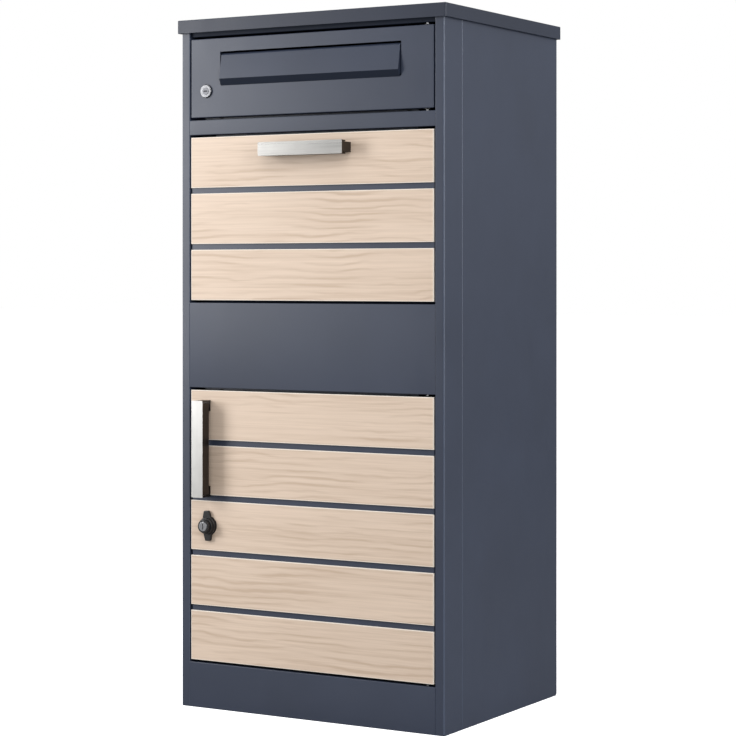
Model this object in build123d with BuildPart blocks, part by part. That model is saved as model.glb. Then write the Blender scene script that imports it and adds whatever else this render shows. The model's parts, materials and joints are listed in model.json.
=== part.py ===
"""Parcel and letter drop cabinet: folded steel body, letter door with flap, tilting hopper, parcel door.

Units are millimetres and +Z is up. The front faces -Y and the origin is the middle of the floor plate's
underside. Every separate piece of the cabinet is its own part, placed where it sits when all is closed.
"""
import math
import os

from build123d import *

os.makedirs("parts", exist_ok=True)

# ------------------------------------------------------------------ overall sizes
BODY_W = 450.0        # cabinet width
BODY_D = 360.0        # cabinet depth
BODY_H = 1030.0       # floor to the top of the lid
SHEET = 1.5           # folded steel sheet
BASE_T = 2.0          # floor plate

# ------------------------------------------------------------------ front layout
LID_H = 19.5          # depth of the lid's rim
LID_OVER = 5.0        # lid overhang all round
HEADER_SHOW = 6.0     # header seen below the lid
LETTER_H = 117.6      # letter door height
RAIL_H = 22.0         # rail between letter door and hopper
HOPPER_H = 243.6      # hopper front height
MIDDLE_H = 127.0      # fixed middle panel height
PLINTH_TOP = 67.3     # top of the plinth above the floor
PANEL_GAP = 3.8       # gap above and below each door
SIDE_GAP = 2.5        # gap between a door and a post
POST_FACE = 14.5      # post width seen from the front
POST_SIDE = 53.0      # post width seen from the side
SEAM = 0.6            # seam between post and side panel
LIP = 9.5             # lip turned out behind each post
CORNER_R = 2.5        # rounded corner of the posts
EDGE_R = 1.2          # rounded edge of the posts beside the doors, and of the side panels
HEADER_SET = 4.0      # header set back behind the front of the posts

# ------------------------------------------------------------------ doors and cladding
DOOR_RETURN = 18.0    # depth of a door, front face to rear edge
PLANK_T = 3.0         # cladding board thickness
PLANK_GAP = 8.6       # groove between boards
PLANK_EDGE = 0.4      # eased board edge
HOPPER_PLANKS = 3
PARCEL_PLANKS = 5
BUMPER_T = 1.2
BUMPER_GAP = 0.3
BUMPER_R = 5.0
STOP_H = 13.0         # height of the stop flanges behind the doors

# ------------------------------------------------------------------ pivots
PIN_R = 2.0
PIN_FIT = 0.05        # running clearance of a pin in its bush
BUSH_R = 3.3
BUSH_FIT = 0.05
BUSH_L = 8.0
BUSH_FLANGE_R = 5.0
BUSH_FLANGE_T = 1.0
SWING_CLEAR = 0.3     # left between a swinging corner and the post
TILT_CLEAR = 1.2      # left between the hopper's lower edge and the middle panel
LUG_T = 6.0           # pivot block thickness

# ------------------------------------------------------------------ letter slot and flap
SLOT_W = 311.0
SLOT_DROP = 20.5      # door top to slot top
SLOT_H = 49.2
FLAP_SIDE_GAP = 2.0
FLAP_T = 1.2
FLAP_PROUD = 6.0
FLAP_FACE_H = 35.1
FLAP_LIP_H = 10.0
ROD_R = 1.5
KNUCKLE_R = 2.3
AXIS_DROP = 4.8       # slot top to the flap's axis
AXIS_DEPTH = 4.4      # door face to the flap's axis

# ------------------------------------------------------------------ locks
LOCK_X = 45.0         # lock and handle centres from the cabinet's left edge
KNOB_X = 49.0
LOCK_DROP = 78.5      # letter door top to its lock
CAM_T = 2.5
CAM_W = 13.0
CAM_GAP = 0.5         # cam to the back of the post lip
CAM_BITE = 8.0        # cam length past the edge of the post
BEZEL_R = 10.0
BARREL_R = 8.0
PLUG_R = 5.5
ROSETTE_R = 14.5
ROSETTE_T = 1.2
HOUSING_R = 9.0
STEM_R = 5.0
CORE_R = 7.0
BOSS_R = 9.8
KNOB_PROUD = 16.0
WING_R = 22.5
WING_T = 4.0
HUB_R = 12.0          # thick middle of the wing knob
HUB_T = 8.5
WING_TILT = 3.5
THREAD_FIT = 0.05

# ------------------------------------------------------------------ handles
BOW_L = 144.0         # length of a handle
BOW_W = 20.0
BOW_PROUD = 25.0
BOW_T = 2.0
BOW_FLANGE = 16.5
BOW_FOOT_W = 14.5
BOW_PITCH = 128.0     # screw spacing
BOW_DROP = 22.0       # hopper top to its handle's centre
UPRIGHT_DROP = 86.6   # parcel door top to its handle's centre
SCREW_R = 2.0
SCREW_HEAD_R = 3.6
SCREW_HEAD_T = 2.4

# ------------------------------------------------------------------ hopper and inside
SCOOP_ANGLE = 45.0
FLOOR_LIFT = 8.0      # letter floor above the rail's lower edge
ANCHOR_X = 340.0
ANCHOR_Y = 250.0
ANCHOR_R = 5.5
WALL_X = 300.0
WALL_Z = 700.0
WALL_R = 4.5
STUD_R = 2.5
STUD_FIT = 0.2
RIVET_R = 1.6
RIVET_FIT = 0.05

# ------------------------------------------------------------------ derived places
XB = BODY_W / 2
YF = -BODY_D / 2
YB = BODY_D / 2
Z_TOP = BODY_H - SHEET
XI = XB - POST_FACE
XD = XI - SIDE_GAP
RETURN = DOOR_RETURN + BUMPER_GAP + BUMPER_T
Y_STOP = YF + RETURN
Y_REAR = Y_STOP + SHEET
X_EAR = XI + LIP - 1.0
Z_HEAD = BODY_H - LID_H - HEADER_SHOW
LETTER_TOP = Z_HEAD - PANEL_GAP
LETTER_BOT = LETTER_TOP - LETTER_H
RAIL_TOP = LETTER_BOT - PANEL_GAP
RAIL_BOT = RAIL_TOP - RAIL_H
HOPPER_TOP = RAIL_BOT - PANEL_GAP
HOPPER_BOT = HOPPER_TOP - HOPPER_H
MIDDLE_TOP = HOPPER_BOT - PANEL_GAP
MIDDLE_BOT = MIDDLE_TOP - MIDDLE_H
PARCEL_TOP = MIDDLE_BOT - PANEL_GAP
PARCEL_BOT = PLINTH_TOP + PANEL_GAP
SKIN_Y = YF + PLANK_T
SKIN_IN = SKIN_Y + SHEET
DOOR_REAR = YF + DOOR_RETURN
PIN_Y = SKIN_IN + BUSH_R + 0.2
PIN_DEPTH = PIN_Y - YF
SIDE_SWING = SIDE_GAP - SWING_CLEAR
PIN_X = XD - (PIN_DEPTH**2 - SIDE_SWING**2) / (2 * SIDE_SWING) - 0.1
REAR_SWING = math.hypot(XD - PIN_X, DOOR_REAR - PIN_Y)
STOP_X1 = PIN_X - REAR_SWING - 5.0
STOP_X0 = -XI + 15.0
TILT_GAP = PANEL_GAP - TILT_CLEAR
PIVOT_Z = HOPPER_BOT + (PIN_DEPTH**2 - TILT_GAP**2) / (2 * TILT_GAP)
CHEEK_R = HOPPER_TOP - SHEET - PIVOT_Z - 0.5
CAM_Y0 = Y_STOP + CAM_GAP
CAM_Y1 = CAM_Y0 + CAM_T
LOCK_CX = -XB + LOCK_X
LOCK_CZ = LETTER_TOP - LOCK_DROP
KNOB_CX = -XB + KNOB_X
HOPPER_PLANK_H = (HOPPER_H - (HOPPER_PLANKS - 1) * PLANK_GAP) / HOPPER_PLANKS
PARCEL_PLANK_H = (PARCEL_TOP - PARCEL_BOT - (PARCEL_PLANKS - 1) * PLANK_GAP) / PARCEL_PLANKS
KNOB_CZ = PARCEL_TOP - 2.5 * PARCEL_PLANK_H - 2 * PLANK_GAP
BOW_CZ = HOPPER_TOP - BOW_DROP
UPRIGHT_CZ = PARCEL_TOP - UPRIGHT_DROP
SLOT_TOP = LETTER_TOP - SLOT_DROP
SLOT_BOT = SLOT_TOP - SLOT_H
FLAP_AY = YF + AXIS_DEPTH
FLAP_AZ = SLOT_TOP - AXIS_DROP
FLAP_X = SLOT_W / 2 - FLAP_SIDE_GAP
LID_STUD_X = XB - 9.0
LID_STUD_Y = (YF + POST_SIDE + 40.0, YB - 40.0)
WALL_CZ = BODY_H * 0.54
RIVET_X = XI + 5.0
RIVET_Z = (
    Z_HEAD + 10.0,
    (RAIL_TOP + RAIL_BOT) / 2,
    MIDDLE_TOP - 25.0,
    MIDDLE_BOT + 25.0,
    PLINTH_TOP / 2 + 10.0,
)


def slab(x0, x1, y0, y1, z0, z1, mode=Mode.ADD):
    """Add or cut a block between two corners."""
    with Locations(((x0 + x1) / 2, (y0 + y1) / 2, (z0 + z1) / 2)):
        Box(x1 - x0, y1 - y0, z1 - z0, mode=mode)


def drum_x(radius, y, z, x0, x1, mode=Mode.ADD):
    """Add or cut a cylinder that lies along X."""
    with Locations(Location(((x0 + x1) / 2, y, z), (0, 90, 0))):
        Cylinder(radius, x1 - x0, mode=mode)


def drum_y(radius, x, z, y0, y1, mode=Mode.ADD):
    """Add or cut a cylinder that lies along Y."""
    with Locations(Location((x, (y0 + y1) / 2, z), (90, 0, 0))):
        Cylinder(radius, y1 - y0, mode=mode)


def drum_z(radius, x, y, z0, z1, mode=Mode.ADD):
    """Add or cut an upright cylinder."""
    with Locations((x, y, (z0 + z1) / 2)):
        Cylinder(radius, z1 - z0, mode=mode)


def front_plane(y):
    """Plane that faces the front at depth y; its X and Y run along the cabinet's X and Z."""
    return Plane(origin=(0, y, 0), x_dir=(1, 0, 0), z_dir=(0, -1, 0))


def side_plane(x):
    """Plane that faces +X; its X and Y run along the cabinet's Y and Z."""
    return Plane(origin=(x, 0, 0), x_dir=(0, 1, 0), z_dir=(1, 0, 0))


def corner_post(side):
    """Folded post that wraps round a front corner. side is -1 for the left and 1 for the right."""
    outline = [
        (XB, YF + POST_SIDE),
        (XB, YF),
        (XI, YF),
        (XI, Y_STOP),
        (XI + LIP, Y_STOP),
        (XI + LIP, Y_STOP - SHEET),
        (XI + SHEET, Y_STOP - SHEET),
        (XI + SHEET, YF + SHEET),
        (XB - SHEET, YF + SHEET),
        (XB - SHEET, YF + POST_SIDE),
    ]
    with BuildPart() as post:
        with BuildSketch(Plane.XY.offset(BASE_T)) as profile:
            with BuildLine():
                Polyline([(side * x, y) for x, y in outline], close=True)
            make_face()
            outer = [v for v in profile.vertices() if abs(v.X) > XB - 0.1 and v.Y < YF + 0.1]
            fillet(outer, CORNER_R)
            beside = [v for v in profile.vertices() if abs(abs(v.X) - XI) < 0.1 and v.Y < YF + 0.1]
            fillet(beside, EDGE_R)
            inner = [v for v in profile.vertices() if abs(abs(v.X) - XB + SHEET) < 0.1 and v.Y < YF + 2 * SHEET]
            fillet(inner, CORNER_R - SHEET)
        extrude(amount=Z_TOP - BASE_T)
        for z in RIVET_Z:
            drum_y(RIVET_R + RIVET_FIT, side * RIVET_X, z, Y_STOP - SHEET - 1, Y_STOP + 1, Mode.SUBTRACT)
        x0, x1 = sorted((side * (XI - 1), side * (XI + SHEET + 1)))
        drum_x(PIN_R + PIN_FIT, PIN_Y, PIVOT_Z, x0, x1, Mode.SUBTRACT)
    return post


corner_post_left = corner_post(-1)
corner_post_left.part.label = "corner_post_left"
export_step(corner_post_left.part, "parts/corner_post_left.step")

corner_post_right = corner_post(1)
corner_post_right.part.label = "corner_post_right"
export_step(corner_post_right.part, "parts/corner_post_right.step")


def side_panel(side):
    """Side sheet with a joggled front edge, a rear flange and a top flange for the lid."""
    y_front = YF + POST_SIDE + SEAM
    with BuildPart() as panel:
        x0, x1 = sorted((side * XB, side * (XB - SHEET)))
        slab(x0, x1, y_front, YB, BASE_T, Z_TOP)
        seam = [e for e in panel.edges().filter_by(Axis.Z) if abs(e.center().X) > XB - 0.1 and e.center().Y < 0]
        fillet(seam, EDGE_R)
        x0, x1 = sorted((side * (XB - SHEET), side * (XB - 2 * SHEET)))
        slab(x0, x1, y_front - 13.0, y_front + 12.0, BASE_T, Z_TOP)
        x0, x1 = sorted((side * XB, side * (XB - 16.0)))
        slab(x0, x1, YB - SHEET, YB, BASE_T, Z_TOP)
        x0, x1 = sorted((side * XB, side * (XB - 18.0)))
        slab(x0, x1, y_front + 15.0, YB - 2 * SHEET - 0.2, Z_TOP - SHEET, Z_TOP)
        for y in LID_STUD_Y:
            drum_z(STUD_R + STUD_FIT, side * LID_STUD_X, y, Z_TOP - SHEET - 1, Z_TOP + 1, Mode.SUBTRACT)
    return panel


side_panel_left = side_panel(-1)
side_panel_left.part.label = "side_panel_left"
export_step(side_panel_left.part, "parts/side_panel_left.step")

side_panel_right = side_panel(1)
side_panel_right.part.label = "side_panel_right"
export_step(side_panel_right.part, "parts/side_panel_right.step")

# ------------------------------------------------------------------ back panel, with four wall holes
with BuildPart() as back_panel:
    slab(-XB + SHEET, XB - SHEET, YB - 2 * SHEET, YB - SHEET, BASE_T, Z_TOP)
    with Locations(Location((0, YB - 1.5 * SHEET, WALL_CZ), (90, 0, 0))):
        with GridLocations(WALL_X, WALL_Z, 2, 2):
            Hole(WALL_R)
back_panel.part.label = "back_panel"
export_step(back_panel.part, "parts/back_panel.step")

# ------------------------------------------------------------------ floor plate, with four anchor holes
with BuildPart() as base_plate:
    with BuildSketch(Plane.XY):
        RectangleRounded(BODY_W, BODY_D, CORNER_R)
        with GridLocations(ANCHOR_X, ANCHOR_Y, 2, 2):
            Circle(ANCHOR_R, mode=Mode.SUBTRACT)
    extrude(amount=BASE_T)
base_plate.part.label = "base_plate"
export_step(base_plate.part, "parts/base_plate.step")

# ------------------------------------------------------------------ rubber mat on the floor plate
with BuildPart() as floor_mat:
    with BuildSketch(Plane.XY.offset(BASE_T)):
        with Locations((0, (Y_REAR + YB) / 2)):
            Rectangle(BODY_W - 20.0, YB - Y_REAR - 20.0)
        with GridLocations(ANCHOR_X, ANCHOR_Y, 2, 2):
            Circle(2.2 * ANCHOR_R, mode=Mode.SUBTRACT)
    extrude(amount=3.0)
floor_mat.part.label = "floor_mat"
export_step(floor_mat.part, "parts/floor_mat.step")

# ------------------------------------------------------------------ lid, a shallow pan with weld studs
with BuildPart() as lid:
    with BuildSketch(Plane.XY.offset(BODY_H - LID_H)):
        RectangleRounded(BODY_W + 2 * LID_OVER, BODY_D + 2 * LID_OVER, CORNER_R)
    extrude(amount=LID_H)
    fillet(lid.faces().sort_by(Axis.Z)[-1].edges(), 1.2)
    with BuildSketch(Plane.XY.offset(BODY_H - LID_H)):
        Rectangle(BODY_W + 2 * LID_OVER - 2 * SHEET, BODY_D + 2 * LID_OVER - 2 * SHEET)
    extrude(amount=LID_H - SHEET, mode=Mode.SUBTRACT)
    for x in (-LID_STUD_X, LID_STUD_X):
        for y in LID_STUD_Y:
            drum_z(STUD_R, x, y, Z_TOP - 9.0, Z_TOP + 0.2)
lid.part.label = "lid"
export_step(lid.part, "parts/lid.step")

# ------------------------------------------------------------------ nuts under the lid's studs
with BuildPart() as lid_nuts:
    for x in (-LID_STUD_X, LID_STUD_X):
        for y in LID_STUD_Y:
            with BuildSketch(Plane.XY.offset(Z_TOP - SHEET - 4.0)):
                with Locations((x, y)):
                    RegularPolygon(4.0, 6, major_radius=False)
                    Circle(STUD_R + THREAD_FIT, mode=Mode.SUBTRACT)
            extrude(amount=4.0)
lid_nuts.part.label = "lid_nuts"
export_step(lid_nuts.part, "parts/lid_nuts.step")


def rivet_holes(heights):
    """Cut the rivet holes in both ears of a rail."""
    for x in (-RIVET_X, RIVET_X):
        for z in heights:
            drum_y(RIVET_R + RIVET_FIT, x, z, Y_STOP - 1, Y_REAR + 1, Mode.SUBTRACT)


# ------------------------------------------------------------------ header above the letter door
with BuildPart() as header_rail:
    slab(-XI, XI, YF + HEADER_SET, YF + HEADER_SET + SHEET, Z_HEAD, Z_TOP)
    slab(-XI, XI, YF + HEADER_SET, Y_REAR, Z_HEAD, Z_HEAD + SHEET)
    slab(-X_EAR, X_EAR, Y_STOP, Y_REAR, Z_HEAD, Z_HEAD + 20.0)
    drum_z(PIN_R + PIN_FIT, PIN_X, PIN_Y, Z_HEAD - 1, Z_HEAD + SHEET + 1, Mode.SUBTRACT)
    rivet_holes(RIVET_Z[0:1])
header_rail.part.label = "header_rail"
export_step(header_rail.part, "parts/header_rail.step")

# ------------------------------------------------------------------ rail below the letter door, with two stop flanges
with BuildPart() as letter_rail:
    slab(-XI, XI, YF, Y_REAR, RAIL_BOT, RAIL_TOP)
    slab(-XI - 1, XI + 1, YF + SHEET, Y_STOP, RAIL_BOT + SHEET, RAIL_TOP - SHEET, Mode.SUBTRACT)
    slab(-X_EAR, X_EAR, Y_STOP, Y_REAR, RAIL_BOT, RAIL_TOP)
    slab(STOP_X0, STOP_X1, Y_STOP, Y_REAR, RAIL_TOP, RAIL_TOP + STOP_H)
    slab(STOP_X0 + 20.0, STOP_X1, Y_STOP, Y_REAR, RAIL_BOT - STOP_H, RAIL_BOT)
    drum_z(PIN_R + PIN_FIT, PIN_X, PIN_Y, RAIL_TOP - SHEET - 1, RAIL_TOP + 1, Mode.SUBTRACT)
    rivet_holes(RIVET_Z[1:2])
letter_rail.part.label = "letter_rail"
export_step(letter_rail.part, "parts/letter_rail.step")

# ------------------------------------------------------------------ fixed middle panel
with BuildPart() as middle_panel:
    slab(-XI, XI, YF, YF + SHEET, MIDDLE_BOT, MIDDLE_TOP)
    slab(-XI, XI, YF, Y_REAR, MIDDLE_TOP - SHEET, MIDDLE_TOP)
    slab(-XI, XI, YF, Y_REAR, MIDDLE_BOT, MIDDLE_BOT + SHEET)
    for x0, x1 in ((-X_EAR, -XI + 16.0), (XI - 16.0, X_EAR)):
        slab(x0, x1, Y_STOP, Y_REAR, MIDDLE_BOT, MIDDLE_TOP)
    slab(STOP_X0, STOP_X1, Y_STOP, Y_REAR, MIDDLE_BOT - STOP_H, MIDDLE_BOT + SHEET)
    drum_z(PIN_R + PIN_FIT, PIN_X, PIN_Y, MIDDLE_BOT - 1, MIDDLE_BOT + SHEET + 1, Mode.SUBTRACT)
    rivet_holes(RIVET_Z[2:4])
middle_panel.part.label = "middle_panel"
export_step(middle_panel.part, "parts/middle_panel.step")

# ------------------------------------------------------------------ plinth panel
with BuildPart() as plinth_panel:
    slab(-XI, XI, YF, YF + SHEET, BASE_T, PLINTH_TOP)
    slab(-XI, XI, YF, Y_REAR, PLINTH_TOP - SHEET, PLINTH_TOP)
    slab(STOP_X0, STOP_X1, Y_STOP, Y_REAR, PLINTH_TOP, PLINTH_TOP + STOP_H)
    for x0, x1 in ((-X_EAR, -XI + 16.0), (XI - 16.0, X_EAR)):
        slab(x0, x1, Y_STOP, Y_REAR, BASE_T, PLINTH_TOP)
    drum_z(PIN_R + PIN_FIT, PIN_X, PIN_Y, PLINTH_TOP - SHEET - 1, PLINTH_TOP + 1, Mode.SUBTRACT)
    rivet_holes(RIVET_Z[4:5])
plinth_panel.part.label = "plinth_panel"
export_step(plinth_panel.part, "parts/plinth_panel.step")

# ------------------------------------------------------------------ rivets that join the rails to the posts
with BuildPart() as rail_rivets:
    for x in (-RIVET_X, RIVET_X):
        for z in RIVET_Z:
            drum_y(RIVET_R, x, z, Y_STOP - SHEET - 1.0, Y_REAR + 1.0)
            drum_y(2 * RIVET_R, x, z, Y_STOP - SHEET - 1.0, Y_STOP - SHEET)
            drum_y(1.6 * RIVET_R, x, z, Y_REAR, Y_REAR + 1.0)
rail_rivets.part.label = "rail_rivets"
export_step(rail_rivets.part, "parts/rail_rivets.step")

# ------------------------------------------------------------------ floor of the letter compartment
FLOOR_Z = RAIL_BOT + FLOOR_LIFT
with BuildPart() as letter_floor:
    slab(-XB + 2 * SHEET, XB - 2 * SHEET, Y_REAR, YB - 2 * SHEET, FLOOR_Z, FLOOR_Z + SHEET)
    slab(-XI, XI, Y_REAR, Y_REAR + SHEET, RAIL_BOT, FLOOR_Z)
    slab(-XI, XI, YB - 3 * SHEET, YB - 2 * SHEET, FLOOR_Z - 14.0, FLOOR_Z)
    for x0, x1 in ((-XB, -RIVET_X + 6.0), (RIVET_X - 6.0, XB)):
        slab(x0, x1, Y_REAR - 1, Y_REAR + 2.0, RAIL_BOT - 1, RAIL_TOP, Mode.SUBTRACT)
    for x0, x1 in ((-XB, -XB + 16.0), (XB - 16.0, XB)):
        slab(x0, x1, YF, YF + POST_SIDE + SEAM + 13.0, FLOOR_Z - 1, FLOOR_Z + 2 * SHEET, Mode.SUBTRACT)
letter_floor.part.label = "letter_floor"
export_step(letter_floor.part, "parts/letter_floor.step")

# ------------------------------------------------------------------ baffle behind the hopper
BAFFLE_Y = PIN_Y + CHEEK_R + 36.0
with BuildPart() as rear_baffle:
    with BuildSketch(side_plane(-XD + 6.0)):
        with BuildLine():
            Polyline(
                (YB - 2 * SHEET, PIVOT_Z + 100.0),
                (YB - 3 * SHEET, PIVOT_Z + 100.0),
                (YB - 3 * SHEET, PIVOT_Z + 76.0),
                (BAFFLE_Y, PIVOT_Z + 20.0),
                (BAFFLE_Y + 1.2, PIVOT_Z + 18.9),
                (YB - 2 * SHEET, PIVOT_Z + 75.4),
                close=True,
            )
        make_face()
    extrude(amount=2 * (XD - 6.0))
rear_baffle.part.label = "rear_baffle"
export_step(rear_baffle.part, "parts/rear_baffle.step")

# ------------------------------------------------------------------ pivot blocks and pins of both doors
with BuildPart() as door_pins:
    for edge, way in ((Z_HEAD, 1), (RAIL_TOP, -1), (MIDDLE_BOT, 1), (PLINTH_TOP, -1)):
        z0, z1 = sorted((edge + way * SHEET, edge + way * (SHEET + LUG_T)))
        slab(PIN_X - 9.0, PIN_X + 9.0, PIN_Y - PIN_R - 0.4, PIN_Y + 5.6, z0, z1)
        z0, z1 = sorted((edge + way * (SHEET + 1.0), edge - way * (PANEL_GAP + BUSH_L - 1.0)))
        drum_z(PIN_R, PIN_X, PIN_Y, z0, z1)
door_pins.part.label = "door_pins"
export_step(door_pins.part, "parts/door_pins.step")

# ------------------------------------------------------------------ pins of the hopper, through the posts
with BuildPart() as hopper_pins:
    for side in (-1, 1):
        x0, x1 = sorted((side * (XD - SHEET - BUSH_L + 1.0), side * (XI + SHEET + 1.0)))
        drum_x(PIN_R, PIN_Y, PIVOT_Z, x0, x1)
        x0, x1 = sorted((side * (XI + SHEET), side * (XI + SHEET + 2.0)))
        drum_x(2.2 * PIN_R, PIN_Y, PIVOT_Z, x0, x1)
hopper_pins.part.label = "hopper_pins"
export_step(hopper_pins.part, "parts/hopper_pins.step")

# ------------------------------------------------------------------ rubber bumpers on the stop flanges
BUMPER_Z = (RAIL_TOP + 7.0, RAIL_BOT - 7.0, MIDDLE_BOT - 7.0, PLINTH_TOP + 7.0)
with BuildPart() as door_bumpers:
    for z in BUMPER_Z:
        for x in (STOP_X0 + 30.0, STOP_X1 - 15.0):
            drum_y(BUMPER_R, x, z, Y_STOP - BUMPER_T, Y_STOP)
door_bumpers.part.label = "door_bumpers"
export_step(door_bumpers.part, "parts/door_bumpers.step")

# ------------------------------------------------------------------ letter door
with BuildPart() as letter_door:
    slab(-XD, XD, YF, DOOR_REAR, LETTER_BOT, LETTER_TOP)
    slab(-XD + SHEET, XD - SHEET, YF + SHEET, DOOR_REAR + 1, LETTER_BOT + SHEET, LETTER_TOP - SHEET, Mode.SUBTRACT)
    slab(-SLOT_W / 2, SLOT_W / 2, YF - 1, YF + SHEET + 1, SLOT_BOT, SLOT_TOP, Mode.SUBTRACT)
    drum_y(BARREL_R + 0.1, LOCK_CX, LOCK_CZ, YF - 1, YF + SHEET + 1, Mode.SUBTRACT)
    drum_z(BUSH_R + BUSH_FIT, PIN_X, PIN_Y, LETTER_TOP - SHEET - 1, LETTER_TOP + 1, Mode.SUBTRACT)
    drum_z(BUSH_R + BUSH_FIT, PIN_X, PIN_Y, LETTER_BOT - 1, LETTER_BOT + SHEET + 1, Mode.SUBTRACT)
letter_door.part.label = "letter_door"
export_step(letter_door.part, "parts/letter_door.step")


def door_bushes(top, bottom):
    """Flanged bushes in the top and bottom edges of a door."""
    with BuildPart() as bushes:
        drum_z(BUSH_R, PIN_X, PIN_Y, top - BUSH_L, top)
        drum_z(BUSH_FLANGE_R, PIN_X, PIN_Y, top, top + BUSH_FLANGE_T)
        drum_z(PIN_R + PIN_FIT, PIN_X, PIN_Y, top - BUSH_L - 1, top + 2, Mode.SUBTRACT)
        drum_z(BUSH_R, PIN_X, PIN_Y, bottom, bottom + BUSH_L)
        drum_z(BUSH_FLANGE_R, PIN_X, PIN_Y, bottom - BUSH_FLANGE_T, bottom)
        drum_z(PIN_R + PIN_FIT, PIN_X, PIN_Y, bottom - 2, bottom + BUSH_L + 1, Mode.SUBTRACT)
    return bushes


letter_bushes = door_bushes(LETTER_TOP, LETTER_BOT)
letter_bushes.part.label = "letter_bushes"
export_step(letter_bushes.part, "parts/letter_bushes.step")

# ------------------------------------------------------------------ frame behind the letter slot, with the flap's ears
EAR_X = SLOT_W / 2 + 1.0
with BuildPart() as slot_frame:
    slab(-EAR_X - 9.5, EAR_X + 9.5, YF + SHEET, YF + 2 * SHEET, SLOT_BOT - 8.0, SLOT_TOP + 10.0)
    slab(-EAR_X, EAR_X, YF, YF + 3 * SHEET, SLOT_BOT - 1.0, SLOT_TOP + 3.0, Mode.SUBTRACT)
    for side in (-1, 1):
        x0, x1 = sorted((side * EAR_X, side * (EAR_X + 4.0)))
        slab(x0, x1, YF + SHEET, FLAP_AY + 4.6, FLAP_AZ - 5.0, FLAP_AZ + 5.6)
        drum_x(ROD_R + PIN_FIT, FLAP_AY, FLAP_AZ, x0 - 1, x1 + 1, Mode.SUBTRACT)
slot_frame.part.label = "slot_frame"
export_step(slot_frame.part, "parts/slot_frame.step")

# ------------------------------------------------------------------ letter flap, a folded sheet with closed ends rolled round its rod
FLAP_TOP_Z = FLAP_AZ - 0.8
FLAP_EDGE_Z = FLAP_TOP_Z - FLAP_FACE_H
with BuildPart() as letter_flap:
    with BuildSketch(side_plane(-FLAP_X)):
        with BuildLine():
            Polyline(
                (FLAP_AY, FLAP_AZ + KNUCKLE_R),
                (YF + 0.7, FLAP_TOP_Z + 0.9),
                (YF + 0.1, FLAP_TOP_Z),
                (YF - FLAP_PROUD, FLAP_EDGE_Z),
                (YF - 0.3, FLAP_EDGE_Z - FLAP_LIP_H),
                (YF - 0.3, FLAP_EDGE_Z - FLAP_LIP_H + 2.1),
                (YF - FLAP_PROUD + 1.45, FLAP_EDGE_Z - 0.1),
                (YF + 1.6, FLAP_TOP_Z - 1.0),
                (FLAP_AY, FLAP_AZ - KNUCKLE_R),
                close=True,
            )
        make_face()
        with Locations((FLAP_AY, FLAP_AZ)):
            Circle(KNUCKLE_R)
            Circle(ROD_R + 0.02, mode=Mode.SUBTRACT)
    extrude(amount=2 * FLAP_X)
    for x in (-FLAP_X, FLAP_X - FLAP_T):
        with BuildSketch(side_plane(x)):
            with BuildLine():
                Polyline(
                    (YF + 0.1, FLAP_TOP_Z),
                    (YF - FLAP_PROUD, FLAP_EDGE_Z),
                    (YF - 0.3, FLAP_EDGE_Z - FLAP_LIP_H),
                    (YF - 0.3, SLOT_BOT + 0.8),
                    (YF + 1.6, SLOT_BOT + 2.0),
                    (YF + 1.6, FLAP_TOP_Z - 1.0),
                    close=True,
                )
            make_face()
        extrude(amount=FLAP_T)
letter_flap.part.label = "letter_flap"
export_step(letter_flap.part, "parts/letter_flap.step")

with BuildPart() as flap_rod:
    drum_x(ROD_R, FLAP_AY, FLAP_AZ, -EAR_X - 3.5, EAR_X + 3.5)
flap_rod.part.label = "flap_rod"
export_step(flap_rod.part, "parts/flap_rod.step")

# ------------------------------------------------------------------ letter lock: barrel, nut, plug, cam and screw
with BuildPart() as letter_lock_body:
    drum_y(BEZEL_R, LOCK_CX, LOCK_CZ, YF - 2.5, YF)
    fillet(letter_lock_body.edges().filter_by(GeomType.CIRCLE).sort_by(Axis.Y)[0], 1.2)
    drum_y(BARREL_R, LOCK_CX, LOCK_CZ, YF, CAM_Y0 - 2.0)
    drum_y(PLUG_R + PIN_FIT, LOCK_CX, LOCK_CZ, YF - 5, CAM_Y0, Mode.SUBTRACT)
letter_lock_body.part.label = "letter_lock_body"
export_step(letter_lock_body.part, "parts/letter_lock_body.step")


def lock_nut(x, z, y, bore, across):
    """Hexagon nut behind a door skin, from depth y backwards."""
    with BuildPart() as nut:
        with BuildSketch(front_plane(y + 4.0)):
            with Locations((x, z)):
                RegularPolygon(across / 2, 6, major_radius=False)
                Circle(bore + THREAD_FIT, mode=Mode.SUBTRACT)
        extrude(amount=4.0)
    return nut


letter_lock_nut = lock_nut(LOCK_CX, LOCK_CZ, YF + SHEET, BARREL_R, 21.0)
letter_lock_nut.part.label = "letter_lock_nut"
export_step(letter_lock_nut.part, "parts/letter_lock_nut.step")

with BuildPart() as letter_lock_plug:
    drum_y(PLUG_R, LOCK_CX, LOCK_CZ, YF - 3.0, CAM_Y0)
    slab(LOCK_CX - 3.6, LOCK_CX + 3.6, YF - 4, YF + 9, LOCK_CZ - 0.7, LOCK_CZ + 0.7, Mode.SUBTRACT)
    drum_y(SCREW_R + THREAD_FIT, LOCK_CX, LOCK_CZ, CAM_Y0 - 8.0, CAM_Y0 + 1, Mode.SUBTRACT)
letter_lock_plug.part.label = "letter_lock_plug"
export_step(letter_lock_plug.part, "parts/letter_lock_plug.step")


def lock_cam(x, z):
    """Cam plate, upright when the lock is open. It turns behind the post's lip to lock."""
    reach = x + XI + CAM_BITE
    with BuildPart() as cam:
        with BuildSketch(front_plane(CAM_Y1)):
            with Locations((x, z)):
                Circle(CAM_W / 2)
            with Locations((x, z + (reach - 3.0) / 2)):
                Rectangle(CAM_W, reach - 3.0)
            with Locations((x, z + reach - 3.0)):
                Rectangle(CAM_W - 3.0, 6.0)
            with Locations((x, z)):
                Circle(SCREW_R + THREAD_FIT, mode=Mode.SUBTRACT)
        extrude(amount=CAM_T)
    return cam


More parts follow.
